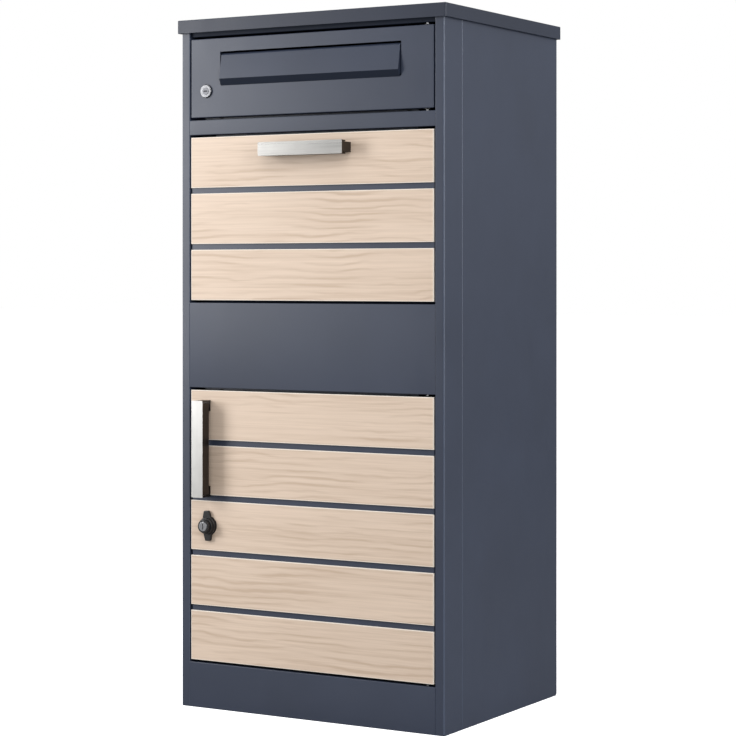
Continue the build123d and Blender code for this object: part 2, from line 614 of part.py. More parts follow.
def cam_screw(x, z):
    """Screw that holds a cam to its spindle."""
    with BuildPart() as screw:
        drum_y(SCREW_R, x, z, CAM_Y0 - 7.0, CAM_Y1 + 1.0)
        drum_y(4.5, x, z, CAM_Y1, CAM_Y1 + 2.2)
        slab(x - 3.5, x + 3.5, CAM_Y1 + 1.2, CAM_Y1 + 3.0, z - 0.5, z + 0.5, Mode.SUBTRACT)
    return screw


letter_lock_cam = lock_cam(LOCK_CX, LOCK_CZ)
letter_lock_cam.part.label = "letter_lock_cam"
export_step(letter_lock_cam.part, "parts/letter_lock_cam.step")

letter_cam_screw = cam_screw(LOCK_CX, LOCK_CZ)
letter_cam_screw.part.label = "letter_cam_screw"
export_step(letter_cam_screw.part, "parts/letter_cam_screw.step")

# ------------------------------------------------------------------ hopper front skin
BOW_SCREWS = ((-BOW_PITCH / 2, BOW_CZ), (BOW_PITCH / 2, BOW_CZ))
with BuildPart() as hopper_front:
    slab(-XD, XD, SKIN_Y, DOOR_REAR, HOPPER_BOT, HOPPER_TOP)
    slab(-XD + SHEET, XD - SHEET, SKIN_IN, DOOR_REAR + 1, HOPPER_BOT + SHEET, HOPPER_TOP - SHEET, Mode.SUBTRACT)
    drum_x(BUSH_R + BUSH_FIT, PIN_Y, PIVOT_Z, -XD - 1, XD + 1, Mode.SUBTRACT)
    for x, z in BOW_SCREWS:
        drum_y(SCREW_R + 0.2, x, z, SKIN_Y - 1, SKIN_IN + 1, Mode.SUBTRACT)
hopper_front.part.label = "hopper_front"
export_step(hopper_front.part, "parts/hopper_front.step")


def plank(z0, z1, holes):
    """One cladding board across a door, drilled at holes given as (x, z, radius)."""
    with BuildPart() as board:
        slab(-XD, XD, YF, SKIN_Y, z0, z1)
        chamfer(board.faces().sort_by(Axis.Y)[0].edges(), PLANK_EDGE)
        for x, z, radius in holes:
            if z0 < z < z1:
                drum_y(radius, x, z, YF - 1, SKIN_Y + 1, Mode.SUBTRACT)
    return board


for row in range(HOPPER_PLANKS):
    board_top = HOPPER_TOP - row * (HOPPER_PLANK_H + PLANK_GAP)
    hopper_plank = plank(board_top - HOPPER_PLANK_H, board_top, [(x, z, SCREW_R + 0.2) for x, z in BOW_SCREWS])
    hopper_plank.part.label = f"hopper_plank_{row + 1}"
    export_step(hopper_plank.part, f"parts/hopper_plank_{row + 1}.step")

# ------------------------------------------------------------------ hopper cheeks and scoop
SCOOP_C = math.cos(math.radians(SCOOP_ANGLE))
SCOOP_S = math.sin(math.radians(SCOOP_ANGLE))
SCOOP_Y = DOOR_REAR + 1.0
SCOOP_Z = HOPPER_BOT + SHEET
SCOOP_L = CHEEK_R - 18.0
CHEEK_X = XD - SHEET


def hopper_cheek(side):
    """Sector plate at one side of the hopper."""
    x0 = min(side * CHEEK_X, side * (CHEEK_X - SHEET))
    with BuildPart() as cheek:
        with BuildSketch(side_plane(x0)):
            with Locations((PIN_Y, PIVOT_Z)):
                Circle(CHEEK_R)
            with BuildLine():
                Polyline(
                    (SKIN_IN, SCOOP_Z),
                    (SCOOP_Y, SCOOP_Z),
                    (SCOOP_Y + 2 * CHEEK_R * SCOOP_C, SCOOP_Z - 2 * CHEEK_R * SCOOP_S),
                    (SCOOP_Y + 3 * CHEEK_R, PIVOT_Z + 2 * CHEEK_R),
                    (SKIN_IN, PIVOT_Z + 2 * CHEEK_R),
                    close=True,
                )
            make_face(mode=Mode.INTERSECT)
            with Locations((PIN_Y, PIVOT_Z)):
                Circle(BUSH_R + BUSH_FIT, mode=Mode.SUBTRACT)
        extrude(amount=SHEET)
    return cheek


hopper_cheek_left = hopper_cheek(-1)
hopper_cheek_left.part.label = "hopper_cheek_left"
export_step(hopper_cheek_left.part, "parts/hopper_cheek_left.step")

hopper_cheek_right = hopper_cheek(1)
hopper_cheek_right.part.label = "hopper_cheek_right"
export_step(hopper_cheek_right.part, "parts/hopper_cheek_right.step")

SCOOP_BEND = SHEET * math.tan(math.radians(SCOOP_ANGLE / 2))
with BuildPart() as scoop:
    with BuildSketch(side_plane(-CHEEK_X + SHEET)):
        with BuildLine():
            Polyline(
                (SKIN_IN, SCOOP_Z),
                (SCOOP_Y, SCOOP_Z),
                (SCOOP_Y + SCOOP_L * SCOOP_C, SCOOP_Z - SCOOP_L * SCOOP_S),
                (SCOOP_Y + SCOOP_L * SCOOP_C + SHEET * SCOOP_S, SCOOP_Z - SCOOP_L * SCOOP_S + SHEET * SCOOP_C),
                (SCOOP_Y + SCOOP_BEND, SCOOP_Z + SHEET),
                (SKIN_IN, SCOOP_Z + SHEET),
                close=True,
            )
        make_face()
    extrude(amount=2 * (CHEEK_X - SHEET))
scoop.part.label = "scoop"
export_step(scoop.part, "parts/scoop.step")

with BuildPart() as hopper_bushes:
    for side in (-1, 1):
        x0, x1 = sorted((side * (XD - BUSH_L), side * XD))
        drum_x(BUSH_R, PIN_Y, PIVOT_Z, x0, x1)
        x0, x1 = sorted((side * XD, side * (XD + BUSH_FLANGE_T)))
        drum_x(BUSH_FLANGE_R, PIN_Y, PIVOT_Z, x0, x1)
    drum_x(PIN_R + PIN_FIT, PIN_Y, PIVOT_Z, -XD - 5, XD + 5, Mode.SUBTRACT)
hopper_bushes.part.label = "hopper_bushes"
export_step(hopper_bushes.part, "parts/hopper_bushes.step")


def bow_handle(plane):
    """Folded bow handle on a plane that faces away from the door, long axis along the plane's X."""
    half = BOW_L / 2
    with BuildPart() as bow:
        with BuildSketch(plane.offset(BOW_PROUD - BOW_T)):
            RectangleRounded(BOW_L, BOW_W, 1.5)
        extrude(amount=BOW_T)
        with BuildSketch(plane.offset(BOW_PROUD - BOW_FLANGE)):
            with GridLocations(1, BOW_W - BOW_T, 1, 2):
                Rectangle(BOW_L - 8.0, BOW_T)
        extrude(amount=BOW_FLANGE - BOW_T)
        with BuildSketch(plane):
            with GridLocations(BOW_L - BOW_T, 1, 2, 1):
                Rectangle(BOW_T, BOW_FOOT_W)
        extrude(amount=BOW_PROUD - BOW_T)
        with BuildSketch(plane):
            with Locations((-half + 8.0, 0), (half - 8.0, 0)):
                Rectangle(16.0, BOW_FOOT_W)
            with GridLocations(BOW_PITCH, 1, 2, 1):
                Circle(SCREW_R + THREAD_FIT, mode=Mode.SUBTRACT)
        extrude(amount=BOW_T)
    return bow


def bow_screws(spots):
    """Screws from behind the skin into a handle's feet."""
    with BuildPart() as screws:
        for x, z in spots:
            drum_y(SCREW_R, x, z, YF - BOW_T, SKIN_IN + 1.0)
            drum_y(SCREW_HEAD_R, x, z, SKIN_IN, SKIN_IN + SCREW_HEAD_T)
            slab(x - 2.6, x + 2.6, SKIN_IN + 1.2, SKIN_IN + 3.0, z - 0.45, z + 0.45, Mode.SUBTRACT)
            slab(x - 0.45, x + 0.45, SKIN_IN + 1.2, SKIN_IN + 3.0, z - 2.6, z + 2.6, Mode.SUBTRACT)
    return screws


hopper_handle = bow_handle(Plane(origin=(0, YF, BOW_CZ), x_dir=(1, 0, 0), z_dir=(0, -1, 0)))
hopper_handle.part.label = "hopper_handle"
export_step(hopper_handle.part, "parts/hopper_handle.step")

hopper_handle_screws = bow_screws(BOW_SCREWS)
hopper_handle_screws.part.label = "hopper_handle_screws"
export_step(hopper_handle_screws.part, "parts/hopper_handle_screws.step")

# ------------------------------------------------------------------ parcel door skin
UPRIGHT_SCREWS = ((LOCK_CX, UPRIGHT_CZ - BOW_PITCH / 2), (LOCK_CX, UPRIGHT_CZ + BOW_PITCH / 2))
with BuildPart() as parcel_door:
    slab(-XD, XD, SKIN_Y, DOOR_REAR, PARCEL_BOT, PARCEL_TOP)
    slab(-XD + SHEET, XD - SHEET, SKIN_IN, DOOR_REAR + 1, PARCEL_BOT + SHEET, PARCEL_TOP - SHEET, Mode.SUBTRACT)
    drum_z(BUSH_R + BUSH_FIT, PIN_X, PIN_Y, PARCEL_TOP - SHEET - 1, PARCEL_TOP + 1, Mode.SUBTRACT)
    drum_z(BUSH_R + BUSH_FIT, PIN_X, PIN_Y, PARCEL_BOT - 1, PARCEL_BOT + SHEET + 1, Mode.SUBTRACT)
    drum_y(HOUSING_R + 0.1, KNOB_CX, KNOB_CZ, SKIN_Y - 1, SKIN_IN + 1, Mode.SUBTRACT)
    for x, z in UPRIGHT_SCREWS:
        drum_y(SCREW_R + 0.2, x, z, SKIN_Y - 1, SKIN_IN + 1, Mode.SUBTRACT)
parcel_door.part.label = "parcel_door"
export_step(parcel_door.part, "parts/parcel_door.step")

PARCEL_HOLES = [(x, z, SCREW_R + 0.2) for x, z in UPRIGHT_SCREWS] + [(KNOB_CX, KNOB_CZ, HOUSING_R + 0.1)]
for row in range(PARCEL_PLANKS):
    board_top = PARCEL_TOP - row * (PARCEL_PLANK_H + PLANK_GAP)
    parcel_plank = plank(board_top - PARCEL_PLANK_H, board_top, PARCEL_HOLES)
    parcel_plank.part.label = f"parcel_plank_{row + 1}"
    export_step(parcel_plank.part, f"parts/parcel_plank_{row + 1}.step")

# ------------------------------------------------------------------ stiffener behind the parcel door skin
STIFF_D = DOOR_REAR - SKIN_IN - 1.5
with BuildPart() as parcel_stiffener:
    with BuildSketch(Plane.XY.offset(PARCEL_BOT + 15.0)):
        with BuildLine():
            Polyline(
                (-28.0, SKIN_IN),
                (-16.0 + SHEET, SKIN_IN),
                (-16.0 + SHEET, SKIN_IN + STIFF_D - SHEET),
                (16.0 - SHEET, SKIN_IN + STIFF_D - SHEET),
                (16.0 - SHEET, SKIN_IN),
                (28.0, SKIN_IN),
                (28.0, SKIN_IN + SHEET),
                (16.0, SKIN_IN + SHEET),
                (16.0, SKIN_IN + STIFF_D),
                (-16.0, SKIN_IN + STIFF_D),
                (-16.0, SKIN_IN + SHEET),
                (-28.0, SKIN_IN + SHEET),
                close=True,
            )
        make_face()
    extrude(amount=PARCEL_TOP - PARCEL_BOT - 30.0)
parcel_stiffener.part.label = "parcel_stiffener"
export_step(parcel_stiffener.part, "parts/parcel_stiffener.step")

parcel_bushes = door_bushes(PARCEL_TOP, PARCEL_BOT)
parcel_bushes.part.label = "parcel_bushes"
export_step(parcel_bushes.part, "parts/parcel_bushes.step")

parcel_handle = bow_handle(Plane(origin=(LOCK_CX, YF, UPRIGHT_CZ), x_dir=(0, 0, 1), z_dir=(0, -1, 0)))
parcel_handle.part.label = "parcel_handle"
export_step(parcel_handle.part, "parts/parcel_handle.step")

parcel_handle_screws = bow_screws(UPRIGHT_SCREWS)
parcel_handle_screws.part.label = "parcel_handle_screws"
export_step(parcel_handle_screws.part, "parts/parcel_handle_screws.step")

# ------------------------------------------------------------------ parcel lock: housing, nut, wing knob, core, cam and screw
with BuildPart() as parcel_lock_body:
    drum_y(ROSETTE_R, KNOB_CX, KNOB_CZ, YF - ROSETTE_T, YF)
    fillet(parcel_lock_body.edges().filter_by(GeomType.CIRCLE).sort_by(Axis.Y)[0], 0.6)
    drum_y(HOUSING_R, KNOB_CX, KNOB_CZ, YF, CAM_Y0 - 2.0)
    drum_y(STEM_R + PIN_FIT, KNOB_CX, KNOB_CZ, YF - 5, CAM_Y0, Mode.SUBTRACT)
parcel_lock_body.part.label = "parcel_lock_body"
export_step(parcel_lock_body.part, "parts/parcel_lock_body.step")

parcel_lock_nut = lock_nut(KNOB_CX, KNOB_CZ, SKIN_IN, HOUSING_R, 23.0)
parcel_lock_nut.part.label = "parcel_lock_nut"
export_step(parcel_lock_nut.part, "parts/parcel_lock_nut.step")

KNOB_BACK = YF - ROSETTE_T - 0.3
KNOB_FRONT = YF - KNOB_PROUD
KNOB_MID = KNOB_BACK - WING_T
with BuildPart() as wing_knob:
    with BuildSketch(Plane(origin=(KNOB_CX, KNOB_BACK, KNOB_CZ), x_dir=(1, 0, 0), z_dir=(0, -1, 0))):
        Circle(ROSETTE_R - 1.0)
        with Locations(Location((0, 0, 0), (0, 0, WING_TILT))):
            Polygon(
                (-4.5, -WING_R),
                (4.5, -WING_R),
                (10.0, 0),
                (4.5, WING_R),
                (-4.5, WING_R),
                (-10.0, 0),
                align=None,
            )
    extrude(amount=WING_T)
    fillet(wing_knob.edges().filter_by(Axis.Y), 2.0)
    fillet(wing_knob.faces().sort_by(Axis.Y)[0].edges(), 1.2)
    drum_y(HUB_R, KNOB_CX, KNOB_CZ, KNOB_BACK - HUB_T, KNOB_MID + 0.5)
    fillet(wing_knob.edges().filter_by(GeomType.CIRCLE).sort_by(Axis.Y)[0], 1.5)
    drum_y(BOSS_R, KNOB_CX, KNOB_CZ, KNOB_FRONT + 1.0, KNOB_BACK - HUB_T + 0.5)
    fillet(wing_knob.edges().filter_by(GeomType.CIRCLE).sort_by(Axis.Y)[0], 1.0)
    drum_y(CORE_R + THREAD_FIT, KNOB_CX, KNOB_CZ, KNOB_FRONT - 1, KNOB_BACK - 2.0, Mode.SUBTRACT)
    drum_y(STEM_R + THREAD_FIT, KNOB_CX, KNOB_CZ, KNOB_BACK - 3.0, KNOB_BACK + 1, Mode.SUBTRACT)
wing_knob.part.label = "wing_knob"
export_step(wing_knob.part, "parts/wing_knob.step")

with BuildPart() as knob_core:
    drum_y(CORE_R, KNOB_CX, KNOB_CZ, KNOB_FRONT, KNOB_BACK - 2.0)
    fillet(knob_core.edges().filter_by(GeomType.CIRCLE).sort_by(Axis.Y)[0], 0.6)
    drum_y(STEM_R, KNOB_CX, KNOB_CZ, KNOB_BACK - 2.5, CAM_Y0)
    slab(KNOB_CX - 0.7, KNOB_CX + 0.7, KNOB_FRONT - 1, KNOB_FRONT + 9, KNOB_CZ - 4.0, KNOB_CZ + 4.0, Mode.SUBTRACT)
    drum_y(SCREW_R + THREAD_FIT, KNOB_CX, KNOB_CZ, CAM_Y0 - 8.0, CAM_Y0 + 1, Mode.SUBTRACT)
knob_core.part.label = "knob_core"
export_step(knob_core.part, "parts/knob_core.step")

parcel_lock_cam = lock_cam(KNOB_CX, KNOB_CZ)
parcel_lock_cam.part.label = "parcel_lock_cam"
export_step(parcel_lock_cam.part, "parts/parcel_lock_cam.step")

parcel_cam_screw = cam_screw(KNOB_CX, KNOB_CZ)
parcel_cam_screw.part.label = "parcel_cam_screw"
export_step(parcel_cam_screw.part, "parts/parcel_cam_screw.step")
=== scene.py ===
"""Looks of the parcel and letter drop cabinet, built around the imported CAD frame.

Each rigid body of the cabinet is a class. It eases the edges of its folded sheets, makes what repeats with
Geometry Nodes, and dresses every piece in a procedural finish. Units are metres, +Z is up, the front faces -Y.
"""

import json
import logging
import math
from collections.abc import Callable, Iterable
from dataclasses import dataclass, field
from enum import Enum

import bmesh
import bpy
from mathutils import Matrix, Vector


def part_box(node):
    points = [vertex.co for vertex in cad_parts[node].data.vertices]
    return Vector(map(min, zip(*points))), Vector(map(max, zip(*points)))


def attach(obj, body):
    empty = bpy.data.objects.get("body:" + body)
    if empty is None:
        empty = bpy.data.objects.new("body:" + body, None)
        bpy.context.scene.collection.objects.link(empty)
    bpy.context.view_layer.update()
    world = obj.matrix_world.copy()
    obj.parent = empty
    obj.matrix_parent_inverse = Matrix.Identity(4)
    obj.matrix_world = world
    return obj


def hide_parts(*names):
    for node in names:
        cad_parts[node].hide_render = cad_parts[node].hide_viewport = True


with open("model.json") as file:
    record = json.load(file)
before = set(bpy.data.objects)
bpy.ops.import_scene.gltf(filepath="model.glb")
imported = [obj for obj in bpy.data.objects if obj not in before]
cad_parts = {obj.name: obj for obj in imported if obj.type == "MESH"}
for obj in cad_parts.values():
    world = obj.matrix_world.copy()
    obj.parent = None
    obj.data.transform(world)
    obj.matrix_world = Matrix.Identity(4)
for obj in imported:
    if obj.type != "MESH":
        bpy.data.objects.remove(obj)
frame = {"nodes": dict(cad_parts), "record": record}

log = logging.getLogger("cabinet")

Colour = tuple[float, float, float]
MM = 0.001
SHARP = math.radians(38)        # edges that turn more than this are rounded
SHORTEST_EDGE = 3 * MM          # shorter edges stay as they are
NARROWEST_FACE = 3.5 * MM       # a fold lies between faces that are broader than this
FOLD_STEPS = 4                  # faces across a rounded fold
GROWN_CREASE = math.radians(40)  # edges of grown pieces stay sharp above this
SLOT_OF = {part["node"]: part["material_slot"] for part in frame["record"]["subparts"]}
BODY_OF = {node: body for body, nodes in frame["record"]["behaviour"]["bodies"].items() for node in nodes}


class Grain(Enum):
    """Direction that brushing or wood fibres run in."""

    ALONG_X = 0
    ALONG_Y = 1
    ALONG_Z = 2

    def stretch(self, along: float, across: float) -> tuple[float, float, float]:
        """Return pattern scales per metre along and across this direction.

        Args:
            along: scale along the fibres.
            across: scale in the two other directions.

        Returns:
            The scales on X, Y and Z.
        """
        return tuple(along if axis == self.value else across for axis in range(3))


# ---------------------------------------------------------------- shader work bench


class Bench:
    """Adds and joins the nodes of one material."""

    def __init__(self, name: str) -> None:
        """Start a material.

        Args:
            name: the material's name.
        """
        self.material = bpy.data.materials.new(name)
        self.material.use_nodes = True
        self.tree = self.material.node_tree
        self.shader = self.tree.nodes["Principled BSDF"]
        self.coords = self.tree.nodes.new("ShaderNodeTexCoord").outputs["Object"]

    def put(self, target: bpy.types.NodeSocket, value: object) -> None:
        """Link value into target if it is a socket, or set it as the default.

        Args:
            target: the input to fill.
            value: a socket, number, vector or colour.
        """
        if isinstance(value, bpy.types.NodeSocket):
            self.tree.links.new(value, target)
        else:
            target.default_value = value

    def calc(self, operation: str, first: object, second: object = 0.0) -> bpy.types.NodeSocket:
        """Return the result of a Math node.

        Args:
            operation: Blender's name of the operation.
            first: a number or socket.
            second: a number or socket.

        Returns:
            The result's socket.
        """
        node = self.tree.nodes.new("ShaderNodeMath")
        node.operation = operation
        self.put(node.inputs[0], first)
        self.put(node.inputs[1], second)
        return node.outputs[0]

    def mapped(self, scale: tuple[float, float, float], source: object = None) -> bpy.types.NodeSocket:
        """Return coordinates scaled by axis.

        Args:
            scale: factors on X, Y and Z.
            source: coordinates to scale, the object's own by default.

        Returns:
            The scaled coordinates.
        """
        node = self.tree.nodes.new("ShaderNodeMapping")
        node.inputs["Scale"].default_value = scale
        self.put(node.inputs["Vector"], source or self.coords)
        return node.outputs[0]

    def noise(self, vector: bpy.types.NodeSocket, scale: float = 1.0, detail: float = 2.0) -> bpy.types.NodeSocket:
        """Return a noise value between 0 and 1.

        Args:
            vector: where the noise is read.
            scale: features per metre.
            detail: octaves.

        Returns:
            The value's socket.
        """
        node = self.tree.nodes.new("ShaderNodeTexNoise")
        node.inputs["Scale"].default_value = scale
        node.inputs["Detail"].default_value = detail
        self.put(node.inputs["Vector"], vector)
        return node.outputs[0]

    def ramp(self, value: bpy.types.NodeSocket, stops: Iterable[tuple[float, Colour]]) -> bpy.types.NodeSocket:
        """Return a colour read from a ramp.

        Args:
            value: where the ramp is read.
            stops: place and colour of each stop.

        Returns:
            The colour's socket.
        """
        node = self.tree.nodes.new("ShaderNodeValToRGB")
        elements = node.color_ramp.elements
        stops = list(stops)
        while len(elements) < len(stops):
            elements.new(0.5)
        for element, (place, colour) in zip(elements, stops):
            element.position = place
            element.color = (*colour, 1.0)
        self.put(node.inputs[0], value)
        return node.outputs[0]

    def span(self, value: bpy.types.NodeSocket, low: float, high: float) -> bpy.types.NodeSocket:
        """Return value spread from low to high.

        Args:
            value: a socket between 0 and 1.
            low: result at 0.
            high: result at 1.

        Returns:
            The spread value's socket.
        """
        node = self.tree.nodes.new("ShaderNodeMapRange")
        node.inputs["To Min"].default_value = low
        node.inputs["To Max"].default_value = high
        self.put(node.inputs["Value"], value)
        return node.outputs[0]

    def bump(self, height: bpy.types.NodeSocket, strength: float, depth: float) -> None:
        """Raise the shader's surface by height.

        Args:
            height: a socket between 0 and 1.
            strength: share of the effect.
            depth: full height in metres.
        """
        node = self.tree.nodes.new("ShaderNodeBump")
        node.inputs["Strength"].default_value = strength
        node.inputs["Distance"].default_value = depth
        self.put(node.inputs["Height"], height)
        self.put(self.shader.inputs["Normal"], node.outputs[0])


def shade(colour: Colour, factor: float) -> Colour:
    """Return colour made lighter or darker by factor."""
    return tuple(min(1.0, channel * factor) for channel in colour)


# ---------------------------------------------------------------- finishes


@dataclass(frozen=True)
class PowderCoat:
    """Fine-texture powder coat on sheet steel."""

    name: str = "anthracite_powder_coat"
    colour: Colour = (0.027, 0.036, 0.062)
    roughness: float = 0.40
    gloss: float = 0.5
    peel: float = 620.0
    peel_depth: float = 0.00010

    def material(self) -> bpy.types.Material:
        """Build the material.

        Returns:
            The material.
        """
        bench = Bench(self.name)
        cloud = bench.noise(bench.coords, 7.0, 3.0)
        bench.put(
            bench.shader.inputs["Base Color"],
            bench.ramp(cloud, [(0.25, shade(self.colour, 0.90)), (0.75, shade(self.colour, 1.10))]),
        )
        bench.shader.inputs["Specular IOR Level"].default_value = self.gloss
        grit = bench.noise(bench.coords, self.peel, 3.0)
        rub = bench.noise(bench.mapped((30.0, 30.0, 12.0)), 1.0, 4.0)
        bench.put(bench.shader.inputs["Roughness"], bench.span(rub, self.roughness - 0.05, self.roughness + 0.06))
        bench.bump(grit, 0.35, self.peel_depth)
        return bench.material


@dataclass(frozen=True)
class OakDecor:
    """Pale oak boards with their grain along the cabinet's width and a painted highlight, a lighter colour, along
    every edge.
    """

    name: str
    low: float
    pitch: float
    height: float
    half_width: float
    pale: Colour = (0.620, 0.495, 0.394)
    deep: Colour = (0.505, 0.385, 0.29)
    highlight_colour: Colour = (0.77, 0.70, 0.62)
    highlight_width: float = 1.1 * MM
    roughness: float = 0.52
    rings: float = 96.0
    sway: float = 1.5
    fibre_share: float = 0.62
    pore_share: float = 0.20
    cloud_share: float = 0.36
    streak_share: float = 0.55
    figure_share: float = 1.7

    def highlight_mask(self, bench: Bench, x: bpy.types.NodeSocket, rise: bpy.types.NodeSocket) -> bpy.types.NodeSocket:
        """Return 1 beside a board's edges, where the painted highlight goes, and 0 inside.

        Args:
            bench: the material's work bench.
            x: place along the board.
            rise: place above the board's lower edge.

        Returns:
            The mask's socket.
        """
        upper = bench.calc("SUBTRACT", self.height, rise)
        end = bench.calc("SUBTRACT", self.half_width, bench.calc("ABSOLUTE", x))
        nearest = bench.calc("MINIMUM", bench.calc("MINIMUM", rise, upper), end)
        return bench.calc("LESS_THAN", nearest, self.highlight_width)

    def figure(self, bench: Bench, z: bpy.types.NodeSocket, place: bpy.types.NodeSocket) -> bpy.types.NodeSocket:
        """Return the thin wavy ring lines, which come and go along the board.

        Args:
            bench: the material's work bench.
            z: height above the floor.
            place: coordinates that differ from board to board.

        Returns:
            The lines' strength.
        """
        drift = bench.noise(bench.mapped((6.5, 1.0, 15.0), place), 1.0, 3.0)
        swayed = bench.calc("MULTIPLY", drift, self.sway * 2)
        height = bench.calc("ADD", bench.calc("MULTIPLY", z, self.rings), swayed)
        wave = bench.calc("SINE", bench.calc("MULTIPLY", height, 2.0 * math.pi))
        line = bench.calc("POWER", bench.calc("MULTIPLY", bench.calc("ADD", wave, 1.0), 0.5), 3.0)
        fade = bench.noise(bench.mapped((7.0, 1.0, 30.0), place), 1.0, 2.5)
        return bench.calc("MULTIPLY", line, bench.calc("MAXIMUM", bench.calc("SUBTRACT", fade, 0.40), 0.0))

    def material(self) -> bpy.types.Material:
        """Build the material.

        Returns:
            The material.
        """
        bench = Bench(self.name)
        axes = bench.tree.nodes.new("ShaderNodeSeparateXYZ")
        bench.put(axes.inputs[0], bench.coords)
        x, y, z = axes.outputs
        count = bench.calc("DIVIDE", bench.calc("SUBTRACT", z, self.low - 2 * MM), self.pitch)
        board = bench.calc("FLOOR", count)
        rise = bench.calc("SUBTRACT", bench.calc("SUBTRACT", z, self.low), bench.calc("MULTIPLY", board, self.pitch))
        own = bench.tree.nodes.new("ShaderNodeCombineXYZ")
        bench.put(own.inputs[0], bench.calc("ADD", x, bench.calc("MULTIPLY", board, 3.71)))
        bench.put(own.inputs[1], bench.calc("ADD", y, bench.calc("MULTIPLY", board, 1.37)))
        bench.put(own.inputs[2], z)
        place = own.outputs[0]
        fibre = bench.noise(bench.mapped((8.0, 60.0, 620.0), place), 1.0, 3.0)
        pore = bench.noise(bench.mapped((30.0, 300.0, 2100.0), place), 1.0, 2.0)
        cloud = bench.noise(bench.mapped((4.0, 1.0, 18.0), place), 1.0, 2.0)
        streak = bench.noise(bench.mapped((5.0, 40.0, 200.0), place), 1.0, 2.0)
        fine = bench.calc("MULTIPLY", pore, self.pore_share)
        tone = bench.calc("ADD", bench.calc("MULTIPLY", fibre, self.fibre_share), fine)
        tone = bench.calc("ADD", tone, bench.calc("MULTIPLY", cloud, self.cloud_share))
        tone = bench.calc("ADD", tone, bench.calc("MULTIPLY", bench.calc("SUBTRACT", streak, 0.5), self.streak_share))
        rings = bench.calc("MULTIPLY", self.figure(bench, z, place), self.figure_share)
        tone = bench.calc("SUBTRACT", tone, rings)
        middle = tuple((a + 2 * b) / 3 for a, b in zip(self.deep, self.pale))
        light = shade(self.pale, 1.07)
        wood = bench.ramp(tone, [(0.22, self.deep), (0.50, middle), (0.64, self.pale), (0.85, light)])
        # The lighter colour along every board edge is a painted highlight.
        mix = bench.tree.nodes.new("ShaderNodeMixRGB")
        bench.put(mix.inputs["Fac"], self.highlight_mask(bench, x, rise))
        bench.put(mix.inputs["Color1"], wood)
        bench.put(mix.inputs["Color2"], (*self.highlight_colour, 1.0))
        bench.put(bench.shader.inputs["Base Color"], mix.outputs[0])
        bench.put(bench.shader.inputs["Roughness"], bench.span(fibre, self.roughness + 0.06, self.roughness - 0.06))
        bench.bump(bench.calc("ADD", fibre, pore), 0.25, 0.00012)
        return bench.material


@dataclass(frozen=True)
class Metal:
    """Bare metal with brushing, plating clouds or polish marks."""

    name: str
    colour: Colour
    roughness: float
    grain: Grain = Grain.ALONG_X
    along: float = 8.0
    across: float = 900.0
    spread: float = 0.10
    contrast: float = 0.12
    depth: float = 0.00002

    def material(self) -> bpy.types.Material:
        """Build the material.

        Returns:
            The material.
        """
        bench = Bench(self.name)
        bench.shader.inputs["Metallic"].default_value = 1.0
        lines = bench.noise(bench.mapped(self.grain.stretch(self.along, self.across)), 1.0, 3.0)
        cloud = bench.noise(bench.coords, 60.0, 3.0)
        both = bench.calc("ADD", bench.calc("MULTIPLY", lines, 0.7), bench.calc("MULTIPLY", cloud, 0.3))
        tones = [(0.3, shade(self.colour, 1 - self.contrast)), (0.7, shade(self.colour, 1 + self.contrast))]
        bench.put(bench.shader.inputs["Base Color"], bench.ramp(both, tones))
        rough = bench.span(lines, self.roughness - self.spread, self.roughness + self.spread)
        bench.put(bench.shader.inputs["Roughness"], rough)
        bench.bump(lines, 0.3, self.depth)
        return bench.material


@dataclass(frozen=True)
class Moulded:
    """Moulded plastic or rubber with a fine spark texture."""

    name: str
    colour: Colour
    roughness: float
    texture: float = 900.0
    depth: float = 0.00008

    def material(self) -> bpy.types.Material:
        """Build the material.

        Returns:
            The material.
        """
        bench = Bench(self.name)
        grit = bench.noise(bench.coords, self.texture, 3.0)
        cloud = bench.noise(bench.coords, 25.0, 3.0)
        tones = [(0.3, shade(self.colour, 0.85)), (0.7, shade(self.colour, 1.2))]
        bench.put(bench.shader.inputs["Base Color"], bench.ramp(cloud, tones))
        bench.put(bench.shader.inputs["Roughness"], bench.span(cloud, self.roughness - 0.06, self.roughness + 0.06))
        bench.bump(grit, 0.3, self.depth)
        return bench.material


Finish = PowderCoat | OakDecor | Metal | Moulded

POWDER = PowderCoat()
# Painted shade: a darker copy of the powder coat for the lid, standing for the lower light on the lid's front.
SHADED_LID_COAT = PowderCoat("anthracite_powder_coat_lid_painted_shade", (0.017, 0.023, 0.041), 0.42, 0.4)
SHADED_COAT = PowderCoat("anthracite_powder_coat_shaded", (0.011, 0.0155, 0.028), 0.60, 0.12)
# Painted highlight: a lighter copy of the powder coat for the rounded upright front corners of posts and side panels.
EDGE_HIGHLIGHT_COAT = PowderCoat("anthracite_powder_coat_edge_highlight", (0.050, 0.066, 0.106), 0.36, 0.6)
BRUSHED_X = Metal("brushed_steel_across", (0.36, 0.357, 0.348), 0.31, Grain.ALONG_X, along=6.0, across=1400.0)
BRUSHED_Z = Metal("brushed_steel_upright", (0.50, 0.496, 0.486), 0.40, Grain.ALONG_Z, along=6.0, across=1400.0)
